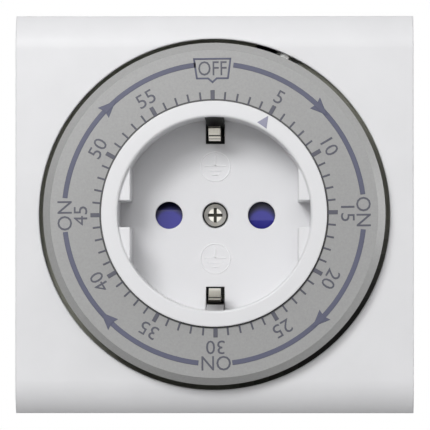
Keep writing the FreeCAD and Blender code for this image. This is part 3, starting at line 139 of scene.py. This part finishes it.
def bump(tree, shader, height, strength, distance, before=None):
    made = node(tree, "ShaderNodeBump", Strength=strength, Distance=distance)
    tree.links.new(height, made.inputs["Height"])
    if before:
        tree.links.new(before, made.inputs["Normal"])
    tree.links.new(made.outputs["Normal"], shader.inputs["Normal"])
    return made.outputs["Normal"]


def shaded(colour, factor):
    return tuple(min(1.0, part * factor) for part in colour)


def softened(tree, radius):
    """Edges that catch the light as if rounded."""
    made = node(tree, "ShaderNodeBevel", samples=6)
    made.inputs["Radius"].default_value = radius * MM
    return made.outputs["Normal"]


def moulded(
    name, colour, roughness, grain=0.05, grain_scale=9000, mottle=0.02, coat=0.0, edge=0.2
):
    """Injection-moulded plastic: faint mottling, uneven gloss and a fine sparked grain."""
    material, tree, shader = new_material(name)
    mottling = noise(tree, 90, 3.0)
    stops = [(0.3, shaded(colour, 1 - mottle)), (0.7, shaded(colour, 1 + mottle))]
    tree.links.new(ramp(tree, mottling, stops), shader.inputs["Base Color"])
    gloss = noise(tree, 1400, 2.0)
    uneven = spread(tree, gloss, roughness - 0.04, roughness + 0.05)
    tree.links.new(uneven, shader.inputs["Roughness"])
    fine = bump(tree, shader, noise(tree, grain_scale, 2.0), grain, 0.00003, softened(tree, edge))
    bump(tree, shader, noise(tree, 200, 2.0), 0.02, 0.0002, fine)
    shader.inputs["IOR"].default_value = 1.48
    shader.inputs["Coat Weight"].default_value = coat
    shader.inputs["Coat Roughness"].default_value = 0.12
    return material


def metal(name, colour, roughness, brushed=None, stain=0.06):
    """Bare or plated metal, with fine lines along one axis where it is drawn or rolled."""
    material, tree, shader = new_material(name)
    shader.inputs["Metallic"].default_value = 1.0
    clouding = noise(tree, 300, 4.0, 0.6)
    stops = [(0.3, shaded(colour, 1 - stain)), (0.75, shaded(colour, 1 + stain / 2))]
    tree.links.new(ramp(tree, clouding, stops), shader.inputs["Base Color"])
    uneven = spread(tree, noise(tree, 900, 3.0), roughness - 0.06, roughness + 0.09)
    tree.links.new(uneven, shader.inputs["Roughness"])
    if brushed:
        mapping = tree.nodes.new("ShaderNodeMapping")
        mapping.inputs["Scale"].default_value = brushed
        lines = node(tree, "ShaderNodeTexNoise", Scale=1.0, Detail=2.0)
        tree.links.new(object_coordinates(tree), mapping.inputs["Vector"])
        tree.links.new(mapping.outputs["Vector"], lines.inputs["Vector"])
        bump(tree, shader, lines.outputs["Fac"], 0.25, 0.00002)
    else:
        bump(tree, shader, noise(tree, 2500, 2.0), 0.08, 0.00003)
    return material


def radius_from_axis(tree, x=0.0, z=0.0):
    """Distance in millimetres from the socket's axis, or from a line beside it."""
    shift = node(tree, "ShaderNodeVectorMath", operation="SUBTRACT")
    shift.inputs[1].default_value = (x * MM, 0, z * MM)
    tree.links.new(object_coordinates(tree), shift.inputs[0])
    split = tree.nodes.new("ShaderNodeSeparateXYZ")
    tree.links.new(shift.outputs["Vector"], split.inputs["Vector"])
    join = tree.nodes.new("ShaderNodeCombineXYZ")
    tree.links.new(split.outputs["X"], join.inputs["X"])
    tree.links.new(split.outputs["Z"], join.inputs["Z"])
    length = node(tree, "ShaderNodeVectorMath", operation="LENGTH")
    tree.links.new(join.outputs["Vector"], length.inputs[0])
    return calculate(tree, "DIVIDE", length.outputs["Value"], MM)


def within(tree, value, low, high):
    """1 where a value lies between two limits, and 0 elsewhere."""
    above = calculate(tree, "GREATER_THAN", value, float(low))
    below = calculate(tree, "LESS_THAN", value, float(high))
    return calculate(tree, "MULTIPLY", above, below)


def patch(material, colour, centre=(0.0, 0.0), **limits):
    """Another colour where x, z, depth and radius, in mm, all lie between the limits given."""
    tree = material.node_tree
    colour_input = tree.nodes["Principled BSDF"].inputs["Base Color"]
    before = colour_input.links[0].from_socket
    split = tree.nodes.new("ShaderNodeSeparateXYZ")
    tree.links.new(object_coordinates(tree), split.inputs["Vector"])
    mask = None
    for name, (low, high) in limits.items():
        if name == "radius":
            test = within(tree, radius_from_axis(tree, *centre), low, high)
        elif name == "depth":
            test = within(tree, split.outputs["Y"], -high * MM, -low * MM)
        else:
            test = within(tree, split.outputs[name.upper()], low * MM, high * MM)
        mask = calculate(tree, "MULTIPLY", mask, test) if mask else test
    mix = tree.nodes.new("ShaderNodeMixRGB")
    mix.inputs["Color2"].default_value = (*colour, 1)
    tree.links.new(mask, mix.inputs["Fac"])
    tree.links.new(before, mix.inputs["Color1"])
    tree.links.new(mix.outputs["Color"], colour_input)


def frosted(name, colour):
    """The dial's frosted grey plastic with a fine grain, a painted shadow line at the bezel and a
    painted highlight on its bevel.
    """
    material, tree, shader = new_material(name)
    place = tree.nodes.new("ShaderNodeMapRange")
    low, high = 22.0, 35.0
    place.inputs["From Min"].default_value = low
    place.inputs["From Max"].default_value = high
    tree.links.new(radius_from_axis(tree), place.inputs["Value"])
    bezel_shadow_line = BEZEL_RADIUS + 0.3
    # Tones by radius: painted shadow just outside the bezel, the grey face a touch lighter from 31 mm
    # out, and a painted highlight on the outer bevel
    tones = [
        (low, 0.05),
        (bezel_shadow_line, 0.05),
        (bezel_shadow_line + 0.12, 0.96),
        (30.6, 0.98),
        (31.1, 1.01),
        (33.0, 1.01),
        (33.2, 1.16),
        (high, 1.16),
    ]
    stops = [((radius - low) / (high - low), shaded(colour, tone)) for radius, tone in tones]
    rings = ramp(tree, place.outputs["Result"], stops)
    mottle = tree.nodes.new("ShaderNodeMixRGB")
    mottle.blend_type = "MULTIPLY"
    mottle.inputs["Fac"].default_value = 1.0
    tree.links.new(rings, mottle.inputs["Color1"])
    clouds = [(0.3, (0.92, 0.92, 0.92)), (0.7, (1.04, 1.04, 1.04))]
    tree.links.new(ramp(tree, noise(tree, 2200, 3.0, 0.7), clouds), mottle.inputs["Color2"])
    tree.links.new(mottle.outputs["Color"], shader.inputs["Base Color"])
    tree.links.new(spread(tree, noise(tree, 3000, 2.0), 0.34, 0.46), shader.inputs["Roughness"])
    bump(tree, shader, noise(tree, 12000, 2.0), 0.12, 0.00002)
    shader.inputs["IOR"].default_value = 1.7
    return material


def wound(name, colour):
    """Enamelled wire in neat turns round the motor's axis."""
    material, tree, shader = new_material(name)
    wave = node(tree, "ShaderNodeTexWave", Scale=1500.0, Distortion=0.4, bands_direction="Y")
    tree.links.new(object_coordinates(tree), wave.inputs["Vector"])
    # Painted shade: the darker part of each band stands for the shade between the turns
    stops = [(0.1, shaded(colour, 0.4)), (0.6, colour)]
    tree.links.new(ramp(tree, wave.outputs["Fac"], stops), shader.inputs["Base Color"])
    tree.links.new(spread(tree, noise(tree, 2000), 0.25, 0.4), shader.inputs["Roughness"])
    shader.inputs["Metallic"].default_value = 0.7
    bump(tree, shader, wave.outputs["Fac"], 0.6, 0.00015)
    return material


WHITE = (0.77, 0.77, 0.785)
PLATE = moulded("plate_white", WHITE, 0.46, grain=0.06, coat=0.04, edge=0.6)
TUB = moulded("tub_white", shaded(WHITE, 0.97), 0.5, grain=0.35, grain_scale=5200)
INSERT = moulded("insert_white", WHITE, 0.3, grain=0.03, mottle=0.008, coat=0.1, edge=0.45)
# Painted highlight: the raised earth symbols are a lighter copy of the floor's white
RELIEF_HIGHLIGHT = moulded("relief_white_painted_highlight", shaded(WHITE, 1.25), 0.3, grain=0.03, mottle=0.008)
DIAL = frosted("dial_grey", (0.325, 0.325, 0.323))
FRAME_OLIVE = (0.36, 0.36, 0.3)
FRAME = moulded("frame_olive_grey", FRAME_OLIVE, 0.4, grain=0.2)
SHUTTER_VIOLET = (0.036, 0.034, 0.29)
SHUTTER = moulded("shutter_violet", SHUTTER_VIOLET, 0.34, grain=0.04)
ACETAL = moulded("gear_acetal", (0.72, 0.7, 0.62), 0.4, grain=0.08)
LEVER = moulded("lever_white", (0.88, 0.88, 0.86), 0.35, grain=0.08)
# The carrier's near-black tone is also the painted shade on the ramp behind the upper earth clip
CARRIER = moulded("carrier_grey", (0.03, 0.03, 0.028), 0.5, grain=0.25)
PRINT = moulded("print_grey_violet", (0.1, 0.105, 0.165), 0.45, grain=0.05, mottle=0.06)
INK = moulded("ink_grey", (0.095, 0.096, 0.125), 0.45, grain=0.05, mottle=0.06)
POINTER = moulded("pointer_lilac", (0.3, 0.3, 0.4), 0.4, grain=0.05, mottle=0.05)
NICKEL = metal("nickel", (0.62, 0.6, 0.55), 0.22)
SCREW = metal("screw_nickel", (0.74, 0.72, 0.66), 0.3)
STRIP = metal("nickel_strip", (0.86, 0.83, 0.73), 0.34, brushed=(12000, 300, 900))
BRASS = metal("brass", (0.72, 0.52, 0.22), 0.28, brushed=(300, 9000, 300))
STEEL = metal("zinc_steel", (0.5, 0.51, 0.53), 0.36, stain=0.12)
WINDING = wound("copper_winding", (0.62, 0.2, 0.08))
BROWN = moulded("brown_insulation", (0.16, 0.06, 0.025), 0.4, grain=0.1)
BLUE = moulded("blue_insulation", (0.03, 0.09, 0.38), 0.4, grain=0.1)

SLOT_MATERIALS = {
    "plate": PLATE,
    "tub": TUB,
    "insert": INSERT,
    "dial": DIAL,
    "frame": FRAME,
    "shutter": SHUTTER,
    "gear": ACETAL,
    "carrier": CARRIER,
    "lever": LEVER,
    "nickel": NICKEL,
    "brass": BRASS,
    "steel": STEEL,
    "copper": WINDING,
    "live_wire": BROWN,
    "blue_wire": BLUE,
}
for part in frame["record"]["subparts"]:
    thing = nodes[part["node"]]
    thing.data.materials.clear()
    thing.data.materials.append(SLOT_MATERIALS[part["material_slot"]])
for name in ("earth_bracket", "plug_earth_strap"):
    nodes[name].data.materials[0] = STRIP
nodes["centre_screw"].data.materials[0] = SCREW

# Shade where the photo is darker than the lamps leave it: in the earth slots, on the shutter behind
# the pin holes, in the gap round the dial, in the screw's recess and between the ribs of the clips

PAST_WALL = 30
SLOT_SHADE = (0.03, 0.03, 0.026)
SLOT_SIDE = (-1.95, 1.95)
UPPER_SLOT = (14.65, PAST_WALL)
LOWER_SLOT = (-PAST_WALL, -14.65)
GROOVE_LIP = 1.6
# Painted shade on metal: in the screw's recess, round its head and between the clips' ribs
PAINTED_METAL_SHADE = (0.05, 0.048, 0.04)
patch(INSERT, SLOT_SHADE, x=SLOT_SIDE, z=UPPER_SLOT, depth=(0, RIM_FRONT - GROOVE_LIP))
patch(INSERT, SLOT_SHADE, x=SLOT_SIDE, z=LOWER_SLOT, depth=(0, FLOOR_DEPTH - 0.05))
# Painted light: the ramp behind the lower earth clip, which faces the lamps, is painted a light grey
# copy of the white
patch(CARRIER, shaded(WHITE, 0.75), z=LOWER_SLOT, depth=(FLOOR_DEPTH + 1, RIM_FRONT))

# Radius from a centre below the pin hole, and the tone from there outwards
HOLE_SHADE = ((2.6, 0.8), (2.8, 0.6), (3.0, 0.42), (3.2, 0.28), (3.4, 0.18), (3.7, 0.1))
SHADE_CENTRE_Z = -1.8
for low, tone in HOLE_SHADE:
    for x in PIN_HOLES:
        crescent = {"x": (x - 4, x + 4), "radius": (low, 6)}
        patch(SHUTTER, shaded(SHUTTER_VIOLET, tone), (x, SHADE_CENTRE_Z), **crescent)

# Distance from the middle to the right and downwards, and the tone from there on
PAST_GAP = 40
GAP = (33.9, 36.6)
GAP_SHADE = ((1, 0.85), (3, 0.7), (5, 0.55), (8, 0.4), (11, 0.3), (14, 0.2), (17, 0.12))
for edge, tone in GAP_SHADE:
    patch(FRAME, shaded(FRAME_OLIVE, tone), x=(edge, PAST_GAP), z=(-PAST_GAP, -edge), radius=GAP)

CROSS_RADIUS = 1.55
HEAD_EDGE = (2.28, 2.7)
# Painted shade in the screw's cross recess
patch(SCREW, PAINTED_METAL_SHADE, radius=(0, CROSS_RADIUS), depth=(0, SCREW_FRONT - 0.25))
# Painted shadow ring round the screw head, in the gap to its hole
patch(SCREW, PAINTED_METAL_SHADE, radius=HEAD_EDGE)

# Painted shade between the ribs of the earth clips, as bands of z in mm
UPPER_RIBS = ((15.3, 15.42), (15.85, 16.1), (17.5, 17.6))
LOWER_RIBS = ((-17.0, -16.8), (-17.85, -17.4), (-18.7, -18.2))
for rib in UPPER_RIBS + LOWER_RIBS:
    patch(STRIP, PAINTED_METAL_SHADE, z=rib, depth=(FLOOR_DEPTH + 1, RIM_FRONT))


# Mesh helpers


WELD = 1e-7


def at(x, depth, z):
    return Vector((x, -depth, z)) * MM


def linked(name, data):
    """A new object in the scene."""
    made = bpy.data.objects.new(name, data)
    bpy.context.scene.collection.objects.link(made)
    return made


def solid(bm, name, material):
    """Turns a bmesh into an object with one material."""
    mesh = bpy.data.meshes.new(name)
    bm.to_mesh(mesh)
    bm.free()
    mesh.materials.append(material)
    return linked(name, mesh)


def finish_mesh(bm, name, material, body):
    """Turns a bmesh into a piece that rides on a body."""
    bmesh.ops.recalc_face_normals(bm, faces=bm.faces)
    piece = solid(bm, name, material)
    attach(piece, body)


def prism(bm, outline, back, front):
    """Adds a solid between two depths with an outline of x and z."""
    rings = [[bm.verts.new(at(x, depth, z)) for x, z in outline] for depth in (back, front)]
    count = len(outline)
    for n in range(count):
        after = (n + 1) % count
        bm.faces.new((rings[0][n], rings[0][after], rings[1][after], rings[1][n]))
    bm.faces.new(rings[0][::-1])
    bm.faces.new(rings[1])


def polar(radius, angle):
    """x and z at a clock angle in degrees."""
    turn = math.radians(angle)
    return radius * math.sin(turn), radius * math.cos(turn)


def band(bm, inner, outer, start, end, back, front):
    """Adds an arc-shaped bar between two radii and two clock angles."""
    steps = max(2, round(abs(end - start) / 2.5))
    angles = [start + (end - start) * n / steps for n in range(steps + 1)]
    far_side = [polar(outer, angle) for angle in angles]
    near_side = [polar(inner, angle) for angle in angles[::-1]]
    prism(bm, far_side + near_side, back, front)


def radial_bar(bm, inner, outer, width, angle, back, front):
    turn = math.radians(angle)
    across = (math.cos(turn) * width / 2, -math.sin(turn) * width / 2)
    low, high = polar(inner, angle), polar(outer, angle)
    outline = [
        (low[0] - across[0], low[1] - across[1]),
        (low[0] + across[0], low[1] + across[1]),
        (high[0] + across[0], high[1] + across[1]),
        (high[0] - across[0], high[1] - across[1]),
    ]
    prism(bm, outline, back, front)


def turned(points, angle):
    """Points of x and z turned clockwise about the axis."""
    cos, sin = math.cos(math.radians(angle)), math.sin(math.radians(angle))
    return [(x * cos + z * sin, z * cos - x * sin) for x, z in points]


def lettering(bm, text, radius, angle, height, width):
    """Adds raised characters whose middle is at a radius and a clock angle, with their tops outward."""
    curve = bpy.data.curves.new(text, "FONT")
    curve.body = text
    curve.align_x = "CENTER"
    curve.size = 1.0
    curve.extrude = 0.5
    curve.resolution_u = 3
    holder = linked(text, curve)
    bpy.context.view_layer.update()
    depsgraph = bpy.context.evaluated_depsgraph_get()
    mesh = bpy.data.meshes.new_from_object(holder.evaluated_get(depsgraph))
    low = min(v.co.y for v in mesh.vertices)
    high = max(v.co.y for v in mesh.vertices)
    size = height / (high - low)
    middle = (high + low) / 2
    for vertex in mesh.vertices:
        x = vertex.co.x * size * width
        z = (vertex.co.y - middle) * size + radius
        (x, z), = turned([(x, z)], angle)
        depth = PRINT_FRONT if vertex.co.z > 0 else PRINT_BACK
        vertex.co = at(x, depth, z)
    bm.from_mesh(mesh)
    bpy.data.objects.remove(holder)
    bpy.data.curves.remove(curve)
    bpy.data.meshes.remove(mesh)


# Print on the dial: sixty ticks, numbers, arrows, ON and OFF. Ticks are given by outer end and width

PRINT_SINK = 0.02
PRINT_RISE = 0.03
PRINT_BACK = DIAL_FRONT - PRINT_SINK
PRINT_FRONT = DIAL_FRONT + PRINT_RISE
MINUTE = 6
OFF_TURN = -0.7
TICK_INNER = BEZEL_RADIUS + 0.2
SHORT_TICK = (24.65, 0.38)
LONG_TICK = (24.95, 0.85)
NUMBER_RADIUS = 26.95
ON_RADIUS = 30.15
OFF_RADIUS = 29.35
ARC_RADIUS = 30.25
ARC_HALF = 0.5


def dial_ticks():
    bm = bmesh.new()
    for minute in range(60):
        outer, width = SHORT_TICK if minute % 5 else LONG_TICK
        angle = minute * MINUTE + OFF_TURN
        radial_bar(bm, TICK_INNER, outer, width, angle, PRINT_BACK, PRINT_FRONT)
    finish_mesh(bm, "dial_ticks", INK, "dial")


def dial_numbers():
    bm = bmesh.new()
    for minute in range(5, 60, 5):
        angle = minute * MINUTE + OFF_TURN
        lettering(bm, str(minute), NUMBER_RADIUS, angle, height=2.75, width=1.06)
    for quarter in (90, 180, 270):
        lettering(bm, "ON", ON_RADIUS, quarter + OFF_TURN, height=2.95, width=0.95)
    lettering(bm, "OFF", OFF_RADIUS, OFF_TURN, height=2.9, width=0.82)
    finish_mesh(bm, "dial_numbers", INK, "dial")


def dial_arrows():
    """Four arcs between the marks, each with an arrowhead that points clockwise."""
    bm = bmesh.new()
    barb = 1.5
    for quarter in (0, 90, 180, 270):
        start = quarter + (7.4 if quarter == 0 else 6.0)
        end = quarter + (82.6 if quarter == 0 else 83.0)
        head = quarter + 45.5
        inner, outer = ARC_RADIUS - ARC_HALF, ARC_RADIUS + ARC_HALF
        band(bm, inner, outer, start, end, PRINT_BACK, PRINT_FRONT)
        arrowhead = [
            polar(ARC_RADIUS, head + 3.5),
            polar(ARC_RADIUS + barb, head - 3.2),
            polar(ARC_RADIUS, head - 2.4),
            polar(ARC_RADIUS - barb, head - 3.2),
        ]
        prism(bm, arrowhead, PRINT_BACK, PRINT_FRONT + 0.004)
    finish_mesh(bm, "dial_arrows", PRINT, "dial")


def off_box():
    """The outlined box round OFF, narrower below, with a small point towards the tick."""
    bm = bmesh.new()
    line = 0.36
    wide, narrow, notch = 3.88, 3.3, 0.95
    top, bottom, point = 31.45, 27.15, 26.3
    right = [(wide, top), (narrow, bottom), (notch, bottom), (0, point)]
    inside = [
        (wide - line * 1.1, top - line),
        (narrow - line * 0.9, bottom + line),
        (notch - line * 0.4, bottom + line),
        (0, point + line * 1.4),
    ]
    outer = right + [(-x, z) for x, z in right[-2::-1]]
    inner = inside + [(-x, z) for x, z in inside[-2::-1]]
    outer = turned(outer, OFF_TURN)
    inner = turned(inner, OFF_TURN)
    for n in range(len(outer)):
        after = (n + 1) % len(outer)
        prism(bm, [outer[n], outer[after], inner[after], inner[n]], PRINT_BACK, PRINT_FRONT)
    bmesh.ops.remove_doubles(bm, verts=bm.verts, dist=WELD)
    finish_mesh(bm, "off_box", PRINT, "dial")


def bezel_pointer():
    bm = bmesh.new()
    triangle = [(10.95, 19.72), (8.69, 18.43), (10.59, 17.12)]
    prism(bm, triangle, RIM_FRONT - PRINT_SINK, RIM_FRONT + PRINT_RISE)
    finish_mesh(bm, "bezel_pointer", POINTER, "housing")


dial_ticks()
dial_numbers()
dial_arrows()
off_box()
bezel_pointer()


# Raised earth symbols on the socket's floor


def floor_symbol(name, z, height):
    """A ring round the earth sign, whose middle is at z."""
    bm = bmesh.new()
    back = FLOOR_DEPTH - 0.02
    front = FLOOR_DEPTH + height
    ring = 3.15
    line = 0.22
    steps = 48
    turns = [2 * math.pi * n / steps for n in range(steps)]
    outer = [(ring * math.cos(turn), ring * math.sin(turn)) for turn in turns]
    inner = [(x * (1 - line / ring), y * (1 - line / ring)) for x, y in outer]
    for n in range(steps):
        after = (n + 1) % steps
        quad = [outer[n], outer[after], inner[after], inner[n]]
        prism(bm, [(x, y + z) for x, y in quad], back, front)
    bmesh.ops.remove_doubles(bm, verts=bm.verts, dist=WELD)

    def bar(half, low, high):
        corners = [(-half, z + low), (half, z + low), (half, z + high), (-half, z + high)]
        prism(bm, corners, back, front)

    for half, low in ((2.2, 0.1), (1.4, -0.9), (0.7, -1.8)):
        bar(half, low, low + line)
    bar(line / 2, 0.1, 2.3)
    # The symbols take the lighter copy of the white, a painted highlight
    finish_mesh(bm, name, RELIEF_HIGHLIGHT, "housing")


floor_symbol("upper_earth_symbol", 10.0, 0.16)
floor_symbol("lower_earth_symbol", -8.9, 0.1)


# Leaf springs, copied with finer meshes

LEAF_STEP = 0.8


def bending(name):
    """A finer copy of a leaf spring's node, which takes the node's place."""
    leaf = nodes[name]
    bm = bmesh.new()
    bm.from_mesh(leaf.data)
    bmesh.ops.remove_doubles(bm, verts=bm.verts, dist=WELD)
    for _ in range(4):
        long = [edge for edge in bm.edges if edge.calc_length() > LEAF_STEP * MM]
        bmesh.ops.subdivide_edges(bm, edges=long, cuts=1)
        bmesh.ops.triangulate(bm, faces=bm.faces)
    piece = solid(bm, f"{name}_leaf", leaf.data.materials[0])
    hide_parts(name)
    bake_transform(piece)


bending("shutter_spring")
bending("follower_spring")
for contact in ("moving_contact", "fixed_contact"):
    bending(contact)


# Stage, light and camera


def pale_floor(name):
    material, tree, shader = new_material(name)
    tone = ramp(tree, noise(tree, 6, 2.0), [(0.3, (0.31, 0.31, 0.31)), (0.7, (0.33, 0.33, 0.33))])
    tree.links.new(tone, shader.inputs["Base Color"])
    shader.inputs["Roughness"].default_value = 0.7
    glow = node(tree, "ShaderNodeEmission", Strength=1.0)
    path = tree.nodes.new("ShaderNodeLightPath")
    glow_share = 0.84
    seen = calculate(tree, "MULTIPLY", path.outputs["Is Camera Ray"], glow_share)
    mix = tree.nodes.new("ShaderNodeMixShader")
    tree.links.new(seen, mix.inputs["Fac"])
    tree.links.new(shader.outputs["BSDF"], mix.inputs[1])
    tree.links.new(glow.outputs["Emission"], mix.inputs[2])
    tree.links.new(mix.outputs["Shader"], tree.nodes["Material Output"].inputs["Surface"])
    return material


def floor():
    mesh = bpy.data.meshes.new("floor")
    half = 1.4
    drop = -0.12
    corners = [(-half, -half, drop), (half, -half, drop), (half, half, drop), (-half, half, drop)]
    mesh.from_pydata(corners, [], [(0, 1, 2, 3)])
    mesh.materials.append(pale_floor("pale_floor"))
    made = linked("floor", mesh)


floor()


def lamp(name, place, target, size, power):
    data = bpy.data.lights.new(name, "AREA")
    data.size = size
    data.energy = power
    made = linked(name, data)
    made.location = place
    made.rotation_euler = (Vector(target) - Vector(place)).to_track_quat("-Z", "Y").to_euler()


def world_light():
    world = bpy.data.worlds.new("studio")
    bpy.context.scene.world = world
    world.use_nodes = True
    tree = world.node_tree
    fill = tree.nodes["Background"]
    fill.inputs["Color"].default_value = (1, 1, 1, 1)
    split = tree.nodes.new("ShaderNodeSeparateXYZ")
    height = node(tree, "ShaderNodeMapRange")
    height.inputs["From Min"].default_value = -0.4
    height.inputs["To Min"].default_value = 0.02
    height.inputs["To Max"].default_value = 0.55
    tree.links.new(tree.nodes.new("ShaderNodeTexCoord").outputs["Generated"], split.inputs["Vector"])
    tree.links.new(split.outputs["Z"], height.inputs["Value"])
    tree.links.new(height.outputs["Result"], fill.inputs["Strength"])
    seen = node(tree, "ShaderNodeBackground", Strength=1.0)
    seen.inputs["Color"].default_value = (1, 1, 1, 1)
    mix = tree.nodes.new("ShaderNodeMixShader")
    path = tree.nodes.new("ShaderNodeLightPath")
    tree.links.new(path.outputs["Is Camera Ray"], mix.inputs["Fac"])
    tree.links.new(fill.outputs["Background"], mix.inputs[1])
    tree.links.new(seen.outputs["Background"], mix.inputs[2])
    tree.links.new(mix.outputs["Shader"], tree.nodes["World Output"].inputs["Surface"])


FOCUS = at(0.11, PLATE_FRONT, -0.16)
world_light()
lamp("key", (-0.13, -0.45, 0.17), FOCUS, size=0.13, power=1.0)
lamp("fill", (-0.03, -1.0, 0.34), FOCUS, size=0.5, power=2.25)
lamp("side", (0.6, -0.1, 0.04), FOCUS, size=0.3, power=1.0)
lamp("back", (0.25, 1.0, 0.35), (0, 0, 0), size=0.8, power=3.0)

CAMERA_AZIMUTH = 0.85
CAMERA_ELEVATION = -1.1
CAMERA_DISTANCE = 0.9
LENS = 371.4
SENSOR = 36.0


def camera():
    data = bpy.data.cameras.new("camera")
    data.lens = LENS
    data.sensor_width = SENSOR
    data.sensor_fit = "HORIZONTAL"
    data.clip_end = 20
    made = linked("camera", data)
    turn, rise = math.radians(CAMERA_AZIMUTH), math.radians(CAMERA_ELEVATION)
    level = math.cos(rise)
    away = Vector((math.sin(turn) * level, -math.cos(turn) * level, math.sin(rise)))
    made.location = FOCUS + away * CAMERA_DISTANCE
    made.rotation_euler = (-away).to_track_quat("-Z", "Y").to_euler()
    bpy.context.scene.camera = made


camera()
bpy.context.scene.view_settings.view_transform = "Standard"
